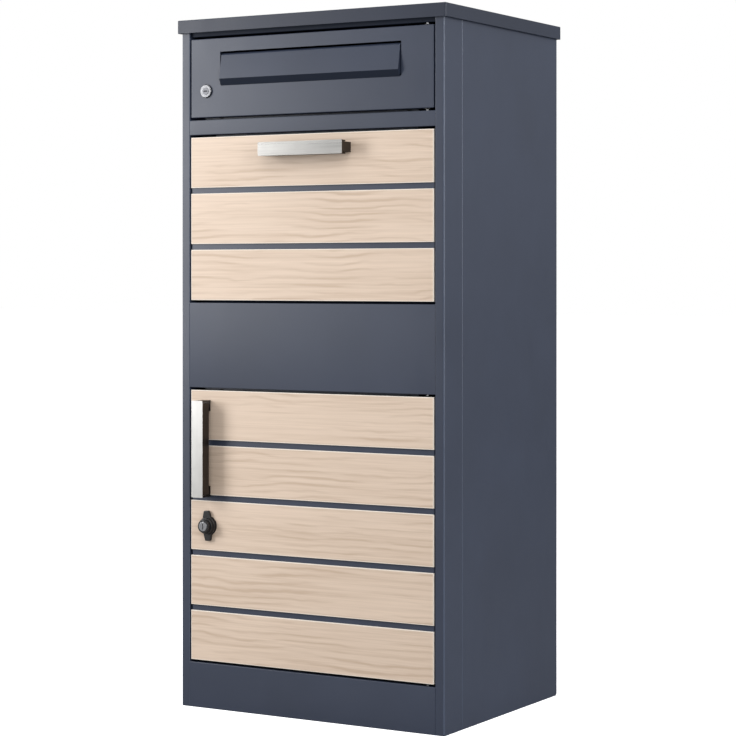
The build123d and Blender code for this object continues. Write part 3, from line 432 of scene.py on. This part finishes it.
# Painted shade: the handles' sides, ends and feet get a dark brownish steel, as if in their own shadow.
SHADED_HANDLE_SIDES = Metal("handle_sides_painted_shade", (0.066, 0.058, 0.052), 0.36, Grain.ALONG_Y, along=20.0, across=500.0)
ZINC = Metal("zinc_plating", (0.24, 0.245, 0.255), 0.38, along=90.0, across=160.0, spread=0.08, contrast=0.2)
NICKEL = Metal("nickel_plating", (0.15, 0.153, 0.162), 0.20, along=200.0, spread=0.05, contrast=0.06)
PLUG = Metal("nickel_plug", (0.09, 0.092, 0.10), 0.30, along=200.0, spread=0.05, contrast=0.10)
CORE = Metal("nickel_core", (0.34, 0.345, 0.36), 0.30, along=200.0, spread=0.05, contrast=0.08)
BLACK = Moulded("black_plastic", (0.005, 0.005, 0.006), 0.40)
RUBBER = Moulded("black_rubber", (0.018, 0.018, 0.018), 0.70, 500.0, 0.00015)
ACETAL = Moulded("black_acetal", (0.016, 0.016, 0.018), 0.42)
FINISH_OF_SLOT: dict[str, Finish] = {
    "anthracite_paint": POWDER,
    "brushed_steel": BRUSHED_X,
    "zinc_steel": ZINC,
    "chrome": NICKEL,
    "black_plastic": BLACK,
    "rubber": RUBBER,
    "bush_plastic": ACETAL,
}
_made: dict[str, bpy.types.Material] = {}


def material_of(finish: Finish) -> bpy.types.Material:
    """Return the material of a finish, built once.

    Args:
        finish: the finish.

    Returns:
        The material.
    """
    if finish.name not in _made:
        _made[finish.name] = finish.material()
    return _made[finish.name]


# ---------------------------------------------------------------- meshes


def merged(node: str) -> bmesh.types.BMesh:
    """Return a CAD node's shape with its loose triangles joined into flat faces.

    Args:
        node: the CAD node.

    Returns:
        The shape, to be freed by the caller.
    """
    shape = bmesh.new()
    shape.from_mesh(frame["nodes"][node].data)
    bmesh.ops.remove_doubles(shape, verts=shape.verts, dist=0.003 * MM)
    bmesh.ops.dissolve_limit(shape, angle_limit=math.radians(0.4), verts=shape.verts, edges=shape.edges)
    return shape


def to_object(name: str, shape: bmesh.types.BMesh, crease: float = 32.0) -> bpy.types.Object:
    """Turn a shape into an object with smooth shading between its creases.

    Args:
        name: the piece's name.
        shape: its bmesh, which is freed.
        crease: angle in degrees above which an edge stays sharp.

    Returns:
        The new object, linked to the scene.
    """
    mesh = bpy.data.meshes.new(name)
    shape.to_mesh(mesh)
    shape.free()
    for attribute in [a for a in mesh.attributes if a.name == "custom_normal"]:
        mesh.attributes.remove(attribute)
    mesh.shade_smooth()
    mesh.set_sharp_from_angle(angle=math.radians(crease))
    piece = bpy.data.objects.new(name, mesh)
    bpy.context.scene.collection.objects.link(piece)
    return piece


def weigh_normals(piece: bpy.types.Object) -> None:
    """Keep large flat faces flat beside their eased edges.

    Args:
        piece: the piece.
    """
    modifier = piece.modifiers.new("flat_faces", "WEIGHTED_NORMAL")
    modifier.keep_sharp = True
    modifier.weight = 100


def breadth(face: bmesh.types.BMFace) -> float:
    """Return how wide a flat face is across its shorter way, judged by its area and outline."""
    half = sum(edge.calc_length() for edge in face.edges) / 2
    return (half - math.sqrt(max(half * half - 4 * face.calc_area(), 0.0))) / 2


def round_edges(shape: bmesh.types.BMesh, width: float, steps: int, folds_only: bool) -> None:
    """Round the long sharp edges of a shape.

    Args:
        shape: the shape, changed in place.
        width: width of the rounding in metres.
        steps: faces across the rounding.
        folds_only: take only outer edges between two broad faces, where a sheet is folded.
    """
    chosen = []
    for edge in shape.edges:
        if len(edge.link_faces) != 2 or edge.calc_face_angle() < SHARP or edge.calc_length() < SHORTEST_EDGE:
            continue
        if folds_only and not (edge.is_convex and all(breadth(face) > NARROWEST_FACE for face in edge.link_faces)):
            continue
        chosen.append(edge)
    if chosen:
        bmesh.ops.bevel(
            shape, geom=chosen, offset=width, offset_type="OFFSET", segments=steps,
            profile=0.5, affect="EDGES", clamp_overlap=True,
        )


def eased(node: str, width: float, steps: int = 2, fold: float = 0.0) -> bpy.types.Object:
    """Return a copy of a CAD node with its long sharp edges rounded.

    Args:
        node: the CAD node.
        width: width of the rounding in metres, 0 for none.
        steps: faces across the rounding.
        fold: width of the rounding where a sheet is folded, 0 for the same as elsewhere.

    Returns:
        The new piece.
    """
    shape = merged(node)
    if fold:
        round_edges(shape, fold, FOLD_STEPS, True)
    if width:
        round_edges(shape, width, steps, False)
    piece = to_object(f"{node}_piece", shape)
    weigh_normals(piece)
    return piece


def island_centres(node: str) -> list[Vector]:
    """Return the middle of each separate solid of a CAD node.

    Args:
        node: the CAD node.

    Returns:
        The middles, lowest first.
    """
    shape = merged(node)
    left = set(shape.verts)
    centres = []
    while left:
        seed = left.pop()
        stack, island = [seed], [seed]
        while stack:
            for edge in stack.pop().link_edges:
                for vert in edge.verts:
                    if vert in left:
                        left.discard(vert)
                        stack.append(vert)
                        island.append(vert)
        low = Vector(min(v.co[i] for v in island) for i in range(3))
        high = Vector(max(v.co[i] for v in island) for i in range(3))
        centres.append((low + high) / 2)
    shape.free()
    return sorted(centres, key=lambda c: (round(c.z, 5), round(c.x, 5)))


# ---------------------------------------------------------------- geometry node trees


class NodeTree:
    """A Geometry Nodes tree with named inputs."""

    def __init__(self, name: str, floats: dict[str, float], ints: dict[str, int] | None = None) -> None:
        """Start a tree.

        Args:
            name: the tree's name.
            floats: name and default of each length input.
            ints: name and default of each count input.
        """
        self.tree = bpy.data.node_groups.new(name, "GeometryNodeTree")
        face = self.tree.interface
        face.new_socket(name="Geometry", in_out="INPUT", socket_type="NodeSocketGeometry")
        face.new_socket(name="Material", in_out="INPUT", socket_type="NodeSocketMaterial")
        face.new_socket(name="Turn", in_out="INPUT", socket_type="NodeSocketVector")
        for label, value in floats.items():
            face.new_socket(name=label, in_out="INPUT", socket_type="NodeSocketFloat").default_value = value
        for label, value in (ints or {}).items():
            face.new_socket(name=label, in_out="INPUT", socket_type="NodeSocketInt").default_value = value
        face.new_socket(name="Geometry", in_out="OUTPUT", socket_type="NodeSocketGeometry")
        self.given = self.tree.nodes.new("NodeGroupInput").outputs
        self.result = self.tree.nodes.new("NodeGroupOutput")

    def add(self, kind: str, **inputs: object) -> bpy.types.Node:
        """Add a node and fill its inputs.

        Args:
            kind: Blender's name of the node.
            inputs: what goes into each input, with spaces in its name written as underscores.

        Returns:
            The node.
        """
        node = self.tree.nodes.new(kind)
        for label, value in inputs.items():
            self.put(node.inputs[label.replace("_", " ")], value)
        return node

    def put(self, target: bpy.types.NodeSocket, value: object) -> None:
        """Link value into target if it is a socket, or set it as the default.

        Args:
            target: the input to fill.
            value: a socket, number, vector or colour.
        """
        if isinstance(value, bpy.types.NodeSocket):
            self.tree.links.new(value, target)
        else:
            target.default_value = value

    def calc(self, operation: str, first: object, second: object) -> bpy.types.NodeSocket:
        """Return the result of a Math node.

        Args:
            operation: Blender's name of the operation.
            first: a number or socket.
            second: a number or socket.

        Returns:
            The result's socket.
        """
        node = self.tree.nodes.new("ShaderNodeMath")
        node.operation = operation
        self.put(node.inputs[0], first)
        self.put(node.inputs[1], second)
        return node.outputs[0]

    def join(self, *shapes: bpy.types.NodeSocket) -> bpy.types.NodeSocket:
        """Return several geometries as one.

        Args:
            shapes: the geometries.

        Returns:
            The joined geometry.
        """
        node = self.tree.nodes.new("GeometryNodeJoinGeometry")
        for shape in shapes:
            self.tree.links.new(shape, node.inputs[0])
        return node.outputs[0]

    def shifted(self, shape: bpy.types.NodeSocket, lift: object) -> bpy.types.NodeSocket:
        """Return shape moved along its own Z by lift."""
        vector = self.add("ShaderNodeCombineXYZ", Z=lift).outputs[0]
        return self.add("GeometryNodeTransform", Geometry=shape, Translation=vector).outputs[0]

    def close(self, shape: bpy.types.NodeSocket) -> bpy.types.NodeTree:
        """End the tree with Realize Instances and Set Material.

        Args:
            shape: the geometry to hand out.

        Returns:
            The tree.
        """
        real = self.add("GeometryNodeRealizeInstances", Geometry=shape).outputs[0]
        dressed = self.add("GeometryNodeSetMaterial", Geometry=real, Material=self.given["Material"]).outputs[0]
        self.tree.links.new(dressed, self.result.inputs[0])
        return self.tree


def fastener_tree() -> bpy.types.NodeTree:
    """Build a tree that stands a domed head and its shank on every point.

    Returns:
        The tree.
    """
    tree = NodeTree(
        "fasteners_on_points",
        {"Head Radius": 3 * MM, "Head Height": 1 * MM, "Shank Radius": 1.5 * MM, "Shank Length": 4 * MM},
        {"Sides": 24},
    )
    given = tree.given
    sides = given["Sides"]
    radius, height = given["Head Radius"], given["Head Height"]
    layers = []
    for low, high, start, end in ((1.0, 0.94, 0.0, 0.40), (0.94, 0.72, 0.40, 0.80), (0.72, 0.30, 0.80, 1.0)):
        ring = tree.add(
            "GeometryNodeMeshCone", Vertices=sides, Radius_Top=tree.calc("MULTIPLY", radius, high),
            Radius_Bottom=tree.calc("MULTIPLY", radius, low), Depth=tree.calc("MULTIPLY", height, end - start),
        ).outputs[0]
        layers.append(tree.shifted(ring, tree.calc("MULTIPLY", height, start)))
    shank = tree.add(
        "GeometryNodeMeshCone", Vertices=sides, Radius_Top=given["Shank Radius"],
        Radius_Bottom=given["Shank Radius"], Depth=given["Shank Length"],
    ).outputs[0]
    layers.append(tree.shifted(shank, tree.calc("MULTIPLY", given["Shank Length"], -1.0)))
    place = tree.add("GeometryNodeInstanceOnPoints", Points=given["Geometry"], Instance=tree.join(*layers))
    turn = tree.add("FunctionNodeEulerToRotation", Euler=given["Turn"]).outputs[0]
    tree.put(place.inputs["Rotation"], turn)
    return tree.close(place.outputs[0])


def stud_tree() -> bpy.types.NodeTree:
    """Build a tree that covers a mat with round studs, clear of its four anchor holes.

    Returns:
        The tree.
    """
    tree = NodeTree(
        "mat_studs",
        {
            "Length": 0.4, "Width": 0.3, "Middle": 0.0, "Top": 5 * MM, "Stud Radius": 4 * MM,
            "Stud Height": 0.8 * MM, "Anchor X": 0.17, "Anchor Y": 0.125, "Clearance": 18 * MM,
        },
        {"Rows": 20, "Columns": 28},
    )
    given = tree.given
    grid = tree.add(
        "GeometryNodeMeshGrid", Size_X=given["Length"], Size_Y=given["Width"],
        Vertices_X=given["Columns"], Vertices_Y=given["Rows"],
    ).outputs[0]
    shift = tree.add("ShaderNodeCombineXYZ", Y=given["Middle"], Z=given["Top"]).outputs[0]
    placed = tree.add("GeometryNodeTransform", Geometry=grid, Translation=shift).outputs[0]
    spot = tree.add("ShaderNodeSeparateXYZ")
    tree.put(spot.inputs[0], tree.add("GeometryNodeInputPosition").outputs[0])
    away = []
    for axis, name in ((0, "Anchor X"), (1, "Anchor Y")):
        side = tree.calc("SUBTRACT", tree.calc("ABSOLUTE", spot.outputs[axis], 0.0), given[name])
        away.append(tree.calc("MULTIPLY", side, side))
    near = tree.calc("LESS_THAN", tree.calc("SQRT", tree.calc("ADD", *away), 0.0), given["Clearance"])
    kept = tree.tree.nodes.new("GeometryNodeDeleteGeometry")
    tree.put(kept.inputs["Geometry"], placed)
    tree.put(kept.inputs["Selection"], near)
    stud = tree.add(
        "GeometryNodeMeshCone", Vertices=10, Radius_Top=tree.calc("MULTIPLY", given["Stud Radius"], 0.75),
        Radius_Bottom=given["Stud Radius"], Depth=given["Stud Height"],
    ).outputs[0]
    studs = tree.add("GeometryNodeInstanceOnPoints", Points=kept.outputs[0], Instance=stud).outputs[0]
    return tree.close(tree.join(given["Geometry"], studs))


def grown(
    name: str, base: bpy.types.Object, tree: bpy.types.NodeTree, settings: dict[str, object]
) -> bpy.types.Object:
    """Bake what a tree grows on a base into one plain mesh.

    Args:
        name: name of the finished piece.
        base: the object the tree starts from, which is removed.
        tree: the Geometry Nodes tree.
        settings: value of each named input.

    Returns:
        The finished piece.
    """
    modifier = base.modifiers.new("grow", "NODES")
    modifier.node_group = tree
    inputs = [s for s in tree.interface.items_tree if s.item_type == "SOCKET" and s.in_out == "INPUT"]
    sockets = {s.name: s.identifier for s in inputs}
    for label, value in settings.items():
        modifier[sockets[label]] = value
    base.update_tag()
    bpy.context.view_layer.update()
    evaluated = base.evaluated_get(bpy.context.evaluated_depsgraph_get())
    mesh = bpy.data.meshes.new_from_object(evaluated)
    mesh.name = name
    base.modifiers.clear()
    bpy.data.objects.remove(base)
    mesh.shade_smooth()
    mesh.set_sharp_from_angle(angle=GROWN_CREASE)
    piece = bpy.data.objects.new(name, mesh)
    bpy.context.scene.collection.objects.link(piece)
    return piece


def points_object(name: str, places: Iterable[Vector]) -> bpy.types.Object:
    """Build an object that holds only points.

    Args:
        name: the object's name.
        places: where the points are.

    Returns:
        The object.
    """
    mesh = bpy.data.meshes.new(name)
    mesh.from_pydata([tuple(p) for p in places], [], [])
    base = bpy.data.objects.new(name, mesh)
    bpy.context.scene.collection.objects.link(base)
    return base


# ---------------------------------------------------------------- assemblies


@dataclass
class Assembly:
    """One rigid body of the cabinet."""

    body: str
    sheet_edge: float = 0.35 * MM
    fold: float = 1.2 * MM
    made: list[str] = field(default_factory=list)

    def settle(self, piece: bpy.types.Object, finish: Finish, *nodes: str) -> bpy.types.Object:
        """Dress a finished piece, put it on this body and let it stand for CAD nodes.

        Args:
            piece: the finished piece, in place.
            finish: its finish.
            nodes: the CAD nodes that it replaces.

        Returns:
            The piece.
        """
        piece.data.materials.clear()
        piece.data.materials.append(material_of(finish))
        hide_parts(*nodes)
        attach(piece, self.body)
        self.made.append(piece.name)
        return piece

    def ease(self, node: str, width: float, finish: Finish | None = None, steps: int = 2) -> bpy.types.Object:
        """Replace a CAD node by a copy with eased edges.

        Args:
            node: the CAD node.
            width: rounding width.
            finish: finish, the slot's own by default.
            steps: faces across the rounding.

        Returns:
            The new piece.
        """
        return self.settle(eased(node, width, steps), finish or FINISH_OF_SLOT[SLOT_OF[node]], node)

    def fold_sheet(self, node: str, finish: Finish | None = None) -> bpy.types.Object:
        """Replace a CAD node made of folded sheet by a copy with rounded folds and broken cut edges.

        Args:
            node: the CAD node.
            finish: finish, the slot's own by default.

        Returns:
            The new piece.
        """
        piece = eased(node, self.sheet_edge, fold=self.fold)
        return self.settle(piece, finish or FINISH_OF_SLOT[SLOT_OF[node]], node)

    def second_finish(
        self, piece: bpy.types.Object, finish: Finish, chosen: Callable[[bpy.types.MeshPolygon], bool]
    ) -> None:
        """Give some faces of a piece a second finish.

        Args:
            piece: the finished piece.
            finish: the second finish.
            chosen: tells whether a face takes it.
        """
        piece.data.materials.append(material_of(finish))
        for face in piece.data.polygons:
            face.material_index = 1 if chosen(face) else 0

    def dress_rest(self) -> None:
        """Give the CAD nodes of this body that still show their finish."""
        for node, body in BODY_OF.items():
            shown = frame["nodes"][node]
            if body == self.body and not shown.hide_render:
                shown.data.materials.clear()
                shown.data.materials.append(material_of(FINISH_OF_SLOT[SLOT_OF[node]]))
                self.made.append(node)

    def report(self) -> None:
        """Log what this body is made of."""
        for name in self.made:
            log.info("%s: %s", self.body, name)


@dataclass
class Cabinet(Assembly):
    """The fixed body: posts, panels, rails, lid, floors and what holds them."""

    body: str = "cabinet"
    stud_pitch: float = 15 * MM
    stud_radius: float = 4 * MM
    mat_margin: float = 12 * MM

    def build(self) -> None:
        """Build every fixed piece."""
        for node in ("corner_post_left", "corner_post_right", "side_panel_left", "side_panel_right"):
            # Faces of the rounded upright front corners take the lighter coat: painted highlight.
            self.second_finish(self.fold_sheet(node), EDGE_HIGHLIGHT_COAT, self.turns_corner)
        for node in (
            "back_panel", "base_plate", "letter_rail", "middle_panel", "plinth_panel", "letter_floor", "rear_baffle",
        ):
            self.fold_sheet(node)
        # The lid takes the darker copy of the powder coat: painted shade.
        self.fold_sheet("lid", SHADED_LID_COAT)
        self.fold_sheet("header_rail", SHADED_COAT)
        for node in ("door_pins", "hopper_pins", "lid_nuts"):
            self.ease(node, 0.15 * MM)
        self.rivets()
        self.bumpers()
        self.mat()
        self.dress_rest()

    @staticmethod
    def turns_corner(face: bpy.types.MeshPolygon) -> bool:
        """Return whether a face is part of an upright rounded corner at the front.

        Args:
            face: the face.

        Returns:
            True for such a face.
        """
        across, out, up = face.normal
        return abs(up) < 0.3 and out < -0.25 and abs(across) > 0.25

    def rivets(self) -> None:
        """Blind rivets through the ears of the rails, each a domed head at the front with its shank running back."""
        low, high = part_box("rail_rivets")
        centres = island_centres("rail_rivets")
        head = 1.0 * MM
        spots = [Vector((c.x, low.y + head, c.z)) for c in centres]
        tree = fastener_tree()
        piece = grown(
            "rivet_heads", points_object("rivet_spots", spots), tree,
            {
                "Head Radius": 3.2 * MM, "Head Height": head, "Shank Radius": 1.6 * MM,
                "Shank Length": high.y - low.y - head, "Turn": (math.radians(90), 0.0, 0.0),
            },
        )
        self.settle(piece, ZINC, "rail_rivets")

    def bumpers(self) -> None:
        """Round rubber bumpers on the stop flanges."""
        low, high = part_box("door_bumpers")
        spots = [Vector((c.x, high.y, c.z)) for c in island_centres("door_bumpers")]
        piece = grown(
            "door_bumper_pads", points_object("bumper_spots", spots), fastener_tree(),
            {
                "Head Radius": 5 * MM, "Head Height": high.y - low.y, "Shank Radius": 1.2 * MM,
                "Shank Length": 0.6 * MM, "Turn": (math.radians(90), 0.0, 0.0),
            },
        )
        self.settle(piece, RUBBER, "door_bumpers")

    def mat(self) -> None:
        """Rubber mat with round studs."""
        low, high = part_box("floor_mat")
        base = eased("floor_mat", 0.0)
        base.modifiers.clear()
        length = high.x - low.x - 2 * self.mat_margin
        width = high.y - low.y - 2 * self.mat_margin
        pattern = next(m for m in frame["record"]["mounts"] if m["name"] == "floor_anchor")["dims"]
        piece = grown(
            "studded_mat", base, stud_tree(),
            {
                "Length": length, "Width": width, "Middle": (low.y + high.y) / 2, "Top": high.z,
                "Stud Radius": self.stud_radius, "Anchor X": pattern["spacing_x_mm"] * MM / 2,
                "Anchor Y": pattern["spacing_y_mm"] * MM / 2,
                "Columns": round(length / self.stud_pitch) + 1, "Rows": round(width / self.stud_pitch) + 1,
            },
        )
        self.settle(piece, RUBBER, "floor_mat")


@dataclass
class LetterDoor(Assembly):
    """Door of the letter compartment with its slot and the fixed half of its lock."""

    body: str = "letter_door"

    def build(self) -> None:
        """Build the door."""
        self.fold_sheet("letter_door")
        self.fold_sheet("slot_frame")
        self.ease("letter_lock_body", 0.0)
        self.ease("letter_lock_nut", 0.2 * MM)
        self.ease("letter_bushes", 0.0)


@dataclass
class LetterFlap(Assembly):
    """Flap over the letter slot."""

    body: str = "letter_flap"

    def build(self) -> None:
        """Build the flap and its rod."""
        flap = self.ease("letter_flap", 0.35 * MM, steps=3)
        self.second_finish(flap, SHADED_COAT, lambda face: face.normal.z < -0.3 and face.normal.y < 0.0)
        self.ease("flap_rod", 0.0)


@dataclass
class LetterLock(Assembly):
    """Turning half of the letter door's cam lock."""

    body: str = "letter_lock"

    def build(self) -> None:
        """Build plug, cam and screw."""
        self.ease("letter_lock_plug", 0.0, PLUG)
        self.ease("letter_lock_cam", 0.25 * MM)
        self.ease("letter_cam_screw", 0.0)


@dataclass
class BoardedDoor(Assembly):
    """A steel door pan clad with oak boards, with a bow handle."""

    pan: str = ""
    boards: tuple[str, ...] = ()
    handle: str = ""
    handle_finish: Metal = BRUSHED_X
    board_edge: float = 0.30 * MM
    grip_front: float = 3 * MM

    def oak(self) -> OakDecor:
        """Return the oak finish whose figure changes from board to board.

        Returns:
            The finish.
        """
        low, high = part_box(self.boards[0])
        bottoms = sorted(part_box(board)[0].z for board in self.boards)
        return OakDecor(f"pale_oak_{self.body}", bottoms[0], bottoms[1] - bottoms[0], high.z - low.z, high.x)

    def clad(self) -> None:
        """Build the pan, the boards and the handle."""
        self.fold_sheet(self.pan)
        for board in self.boards:
            self.ease(board, self.board_edge, self.oak())
        bow = self.ease(self.handle, 0.6 * MM, self.handle_finish, 3)
        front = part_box(self.handle)[0].y + self.grip_front
        # Every handle face except the front plate takes the dark steel: painted shade.
        self.second_finish(bow, SHADED_HANDLE_SIDES, lambda face: face.normal.y > -0.4 or face.center.y > front)


@dataclass
class Hopper(BoardedDoor):
    """Tilting hopper with its cheeks and scoop."""

    body: str = "hopper"
    pan: str = "hopper_front"
    boards: tuple[str, ...] = ("hopper_plank_1", "hopper_plank_2", "hopper_plank_3")
    handle: str = "hopper_handle"

    def build(self) -> None:
        """Build the hopper."""
        self.clad()
        for node in ("hopper_cheek_left", "hopper_cheek_right", "scoop"):
            self.fold_sheet(node)
        self.ease("hopper_bushes", 0.0)
        self.ease("hopper_handle_screws", 0.0)


@dataclass
class ParcelDoor(BoardedDoor):
    """Door of the parcel compartment and the fixed half of its lock."""

    body: str = "parcel_door"
    pan: str = "parcel_door"
    boards: tuple[str, ...] = tuple(f"parcel_plank_{row}" for row in range(1, 6))
    handle: str = "parcel_handle"
    handle_finish: Metal = BRUSHED_Z

    def build(self) -> None:
        """Build the door."""
        self.clad()
        self.fold_sheet("parcel_stiffener")
        self.ease("parcel_lock_nut", 0.2 * MM)
        for node in ("parcel_bushes", "parcel_handle_screws", "parcel_lock_body"):
            self.ease(node, 0.0)


@dataclass
class ParcelLock(Assembly):
    """Wing knob with its cylinder, and the cam behind the door."""

    body: str = "parcel_lock"

    def build(self) -> None:
        """Build the knob, cylinder, cam and screw."""
        self.ease("wing_knob", 0.0)
        self.ease("knob_core", 0.0, CORE)
        self.ease("parcel_lock_cam", 0.25 * MM)
        self.ease("parcel_cam_screw", 0.0)


# ---------------------------------------------------------------- studio


@dataclass
class Softbox:
    """A rectangular soft light aimed at a point."""

    name: str
    place: Vector
    target: Vector
    width: float
    height: float
    power: float
    colour: Colour = (1.0, 1.0, 1.0)

    def build(self) -> None:
        """Add the light."""
        data = bpy.data.lights.new(self.name, "AREA")
        data.shape = "RECTANGLE"
        data.size, data.size_y = self.width, self.height
        data.energy, data.color = self.power, self.colour
        lamp = bpy.data.objects.new(self.name, data)
        lamp.location = self.place
        lamp.rotation_euler = (self.target - self.place).to_track_quat("-Z", "Y").to_euler()
        lamp.visible_camera = False
        bpy.context.scene.collection.objects.link(lamp)


@dataclass
class Studio:
    """Pale floor, white surround, soft lights and the camera."""

    yaw: float = 30.68
    camera: Vector = field(default_factory=lambda: Vector((1.7351, -2.9349, 0.6464)))
    lens: float = 109.48
    drop: float = -0.1253
    ambient: float = 0.45
    floor_glow: float = 0.68

    def build(self) -> None:
        """Build the whole studio."""
        self.surround()
        self.floor()
        middle = Vector((0.0, -0.15, 0.55))
        Softbox("key", Vector((-1.25, -1.15, 0.92)), middle, 0.62, 1.10, 21.0, (1.0, 0.99, 0.98)).build()
        Softbox("fill", Vector((1.2, -2.4, 2.4)), middle, 1.8, 1.4, 24.0).build()
        Softbox("rim", Vector((2.3, -1.5, 1.3)), middle, 0.4, 1.8, 22.0).build()
        Softbox("side", Vector((2.6, 0.8, 1.3)), middle, 1.2, 2.0, 38.0, (0.95, 0.97, 1.0)).build()
        Softbox("top", Vector((0.0, -0.9, 3.2)), middle, 2.0, 1.6, 17.0).build()
        self.stand_camera()
        bpy.context.scene.view_settings.view_transform = "Standard"

    def surround(self) -> None:
        """White surround that also lights the object softly."""
        world = bpy.data.worlds.new("white_surround")
        world.use_nodes = True
        tree = world.node_tree
        ground = tree.nodes["Background"]
        path = tree.nodes.new("ShaderNodeLightPath")
        level = tree.nodes.new("ShaderNodeMapRange")
        level.inputs["To Min"].default_value = self.ambient
        level.inputs["To Max"].default_value = 1.0
        tree.links.new(path.outputs["Is Camera Ray"], level.inputs["Value"])
        tree.links.new(level.outputs[0], ground.inputs["Strength"])
        ground.inputs["Color"].default_value = (1.0, 1.0, 1.0, 1.0)
        bpy.context.scene.world = world

    def floor(self) -> None:
        """Pale matt floor. It looks white but throws little light back at the object."""
        shape = bmesh.new()
        bmesh.ops.create_grid(shape, x_segments=1, y_segments=1, size=30.0)
        plane = to_object("studio_floor", shape)
        bench = Bench("pale_floor")
        seen = bench.tree.nodes.new("ShaderNodeLightPath").outputs["Is Camera Ray"]
        bench.put(bench.shader.inputs["Base Color"], bench.ramp(seen, [(0.0, (0.35,) * 3), (1.0, (0.9,) * 3)]))
        bench.shader.inputs["Roughness"].default_value = 0.9
        bench.shader.inputs["Specular IOR Level"].default_value = 0.1
        bench.shader.inputs["Emission Color"].default_value = (1.0, 1.0, 1.0, 1.0)
        bench.put(bench.shader.inputs["Emission Strength"], bench.calc("MULTIPLY", seen, self.floor_glow))
        plane.data.materials.append(bench.material)

    def stand_camera(self) -> None:
        """Level camera to the front right of the cabinet."""
        data = bpy.data.cameras.new("camera")
        data.lens, data.sensor_width, data.shift_y = self.lens, 36.0, self.drop
        camera = bpy.data.objects.new("camera", data)
        camera.location = self.camera
        camera.rotation_euler = (math.radians(90), 0.0, math.radians(self.yaw))
        bpy.context.scene.collection.objects.link(camera)
        bpy.context.scene.camera = camera


def main() -> None:
    """Build every assembly and the studio."""
    logging.basicConfig(level=logging.INFO, format="%(name)s %(message)s")
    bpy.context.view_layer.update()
    for assembly in (Cabinet(), LetterDoor(), LetterFlap(), LetterLock(), Hopper(), ParcelDoor(), ParcelLock()):
        assembly.build()
        assembly.report()
    Studio().build()


if __name__ == "__main__":
    main()
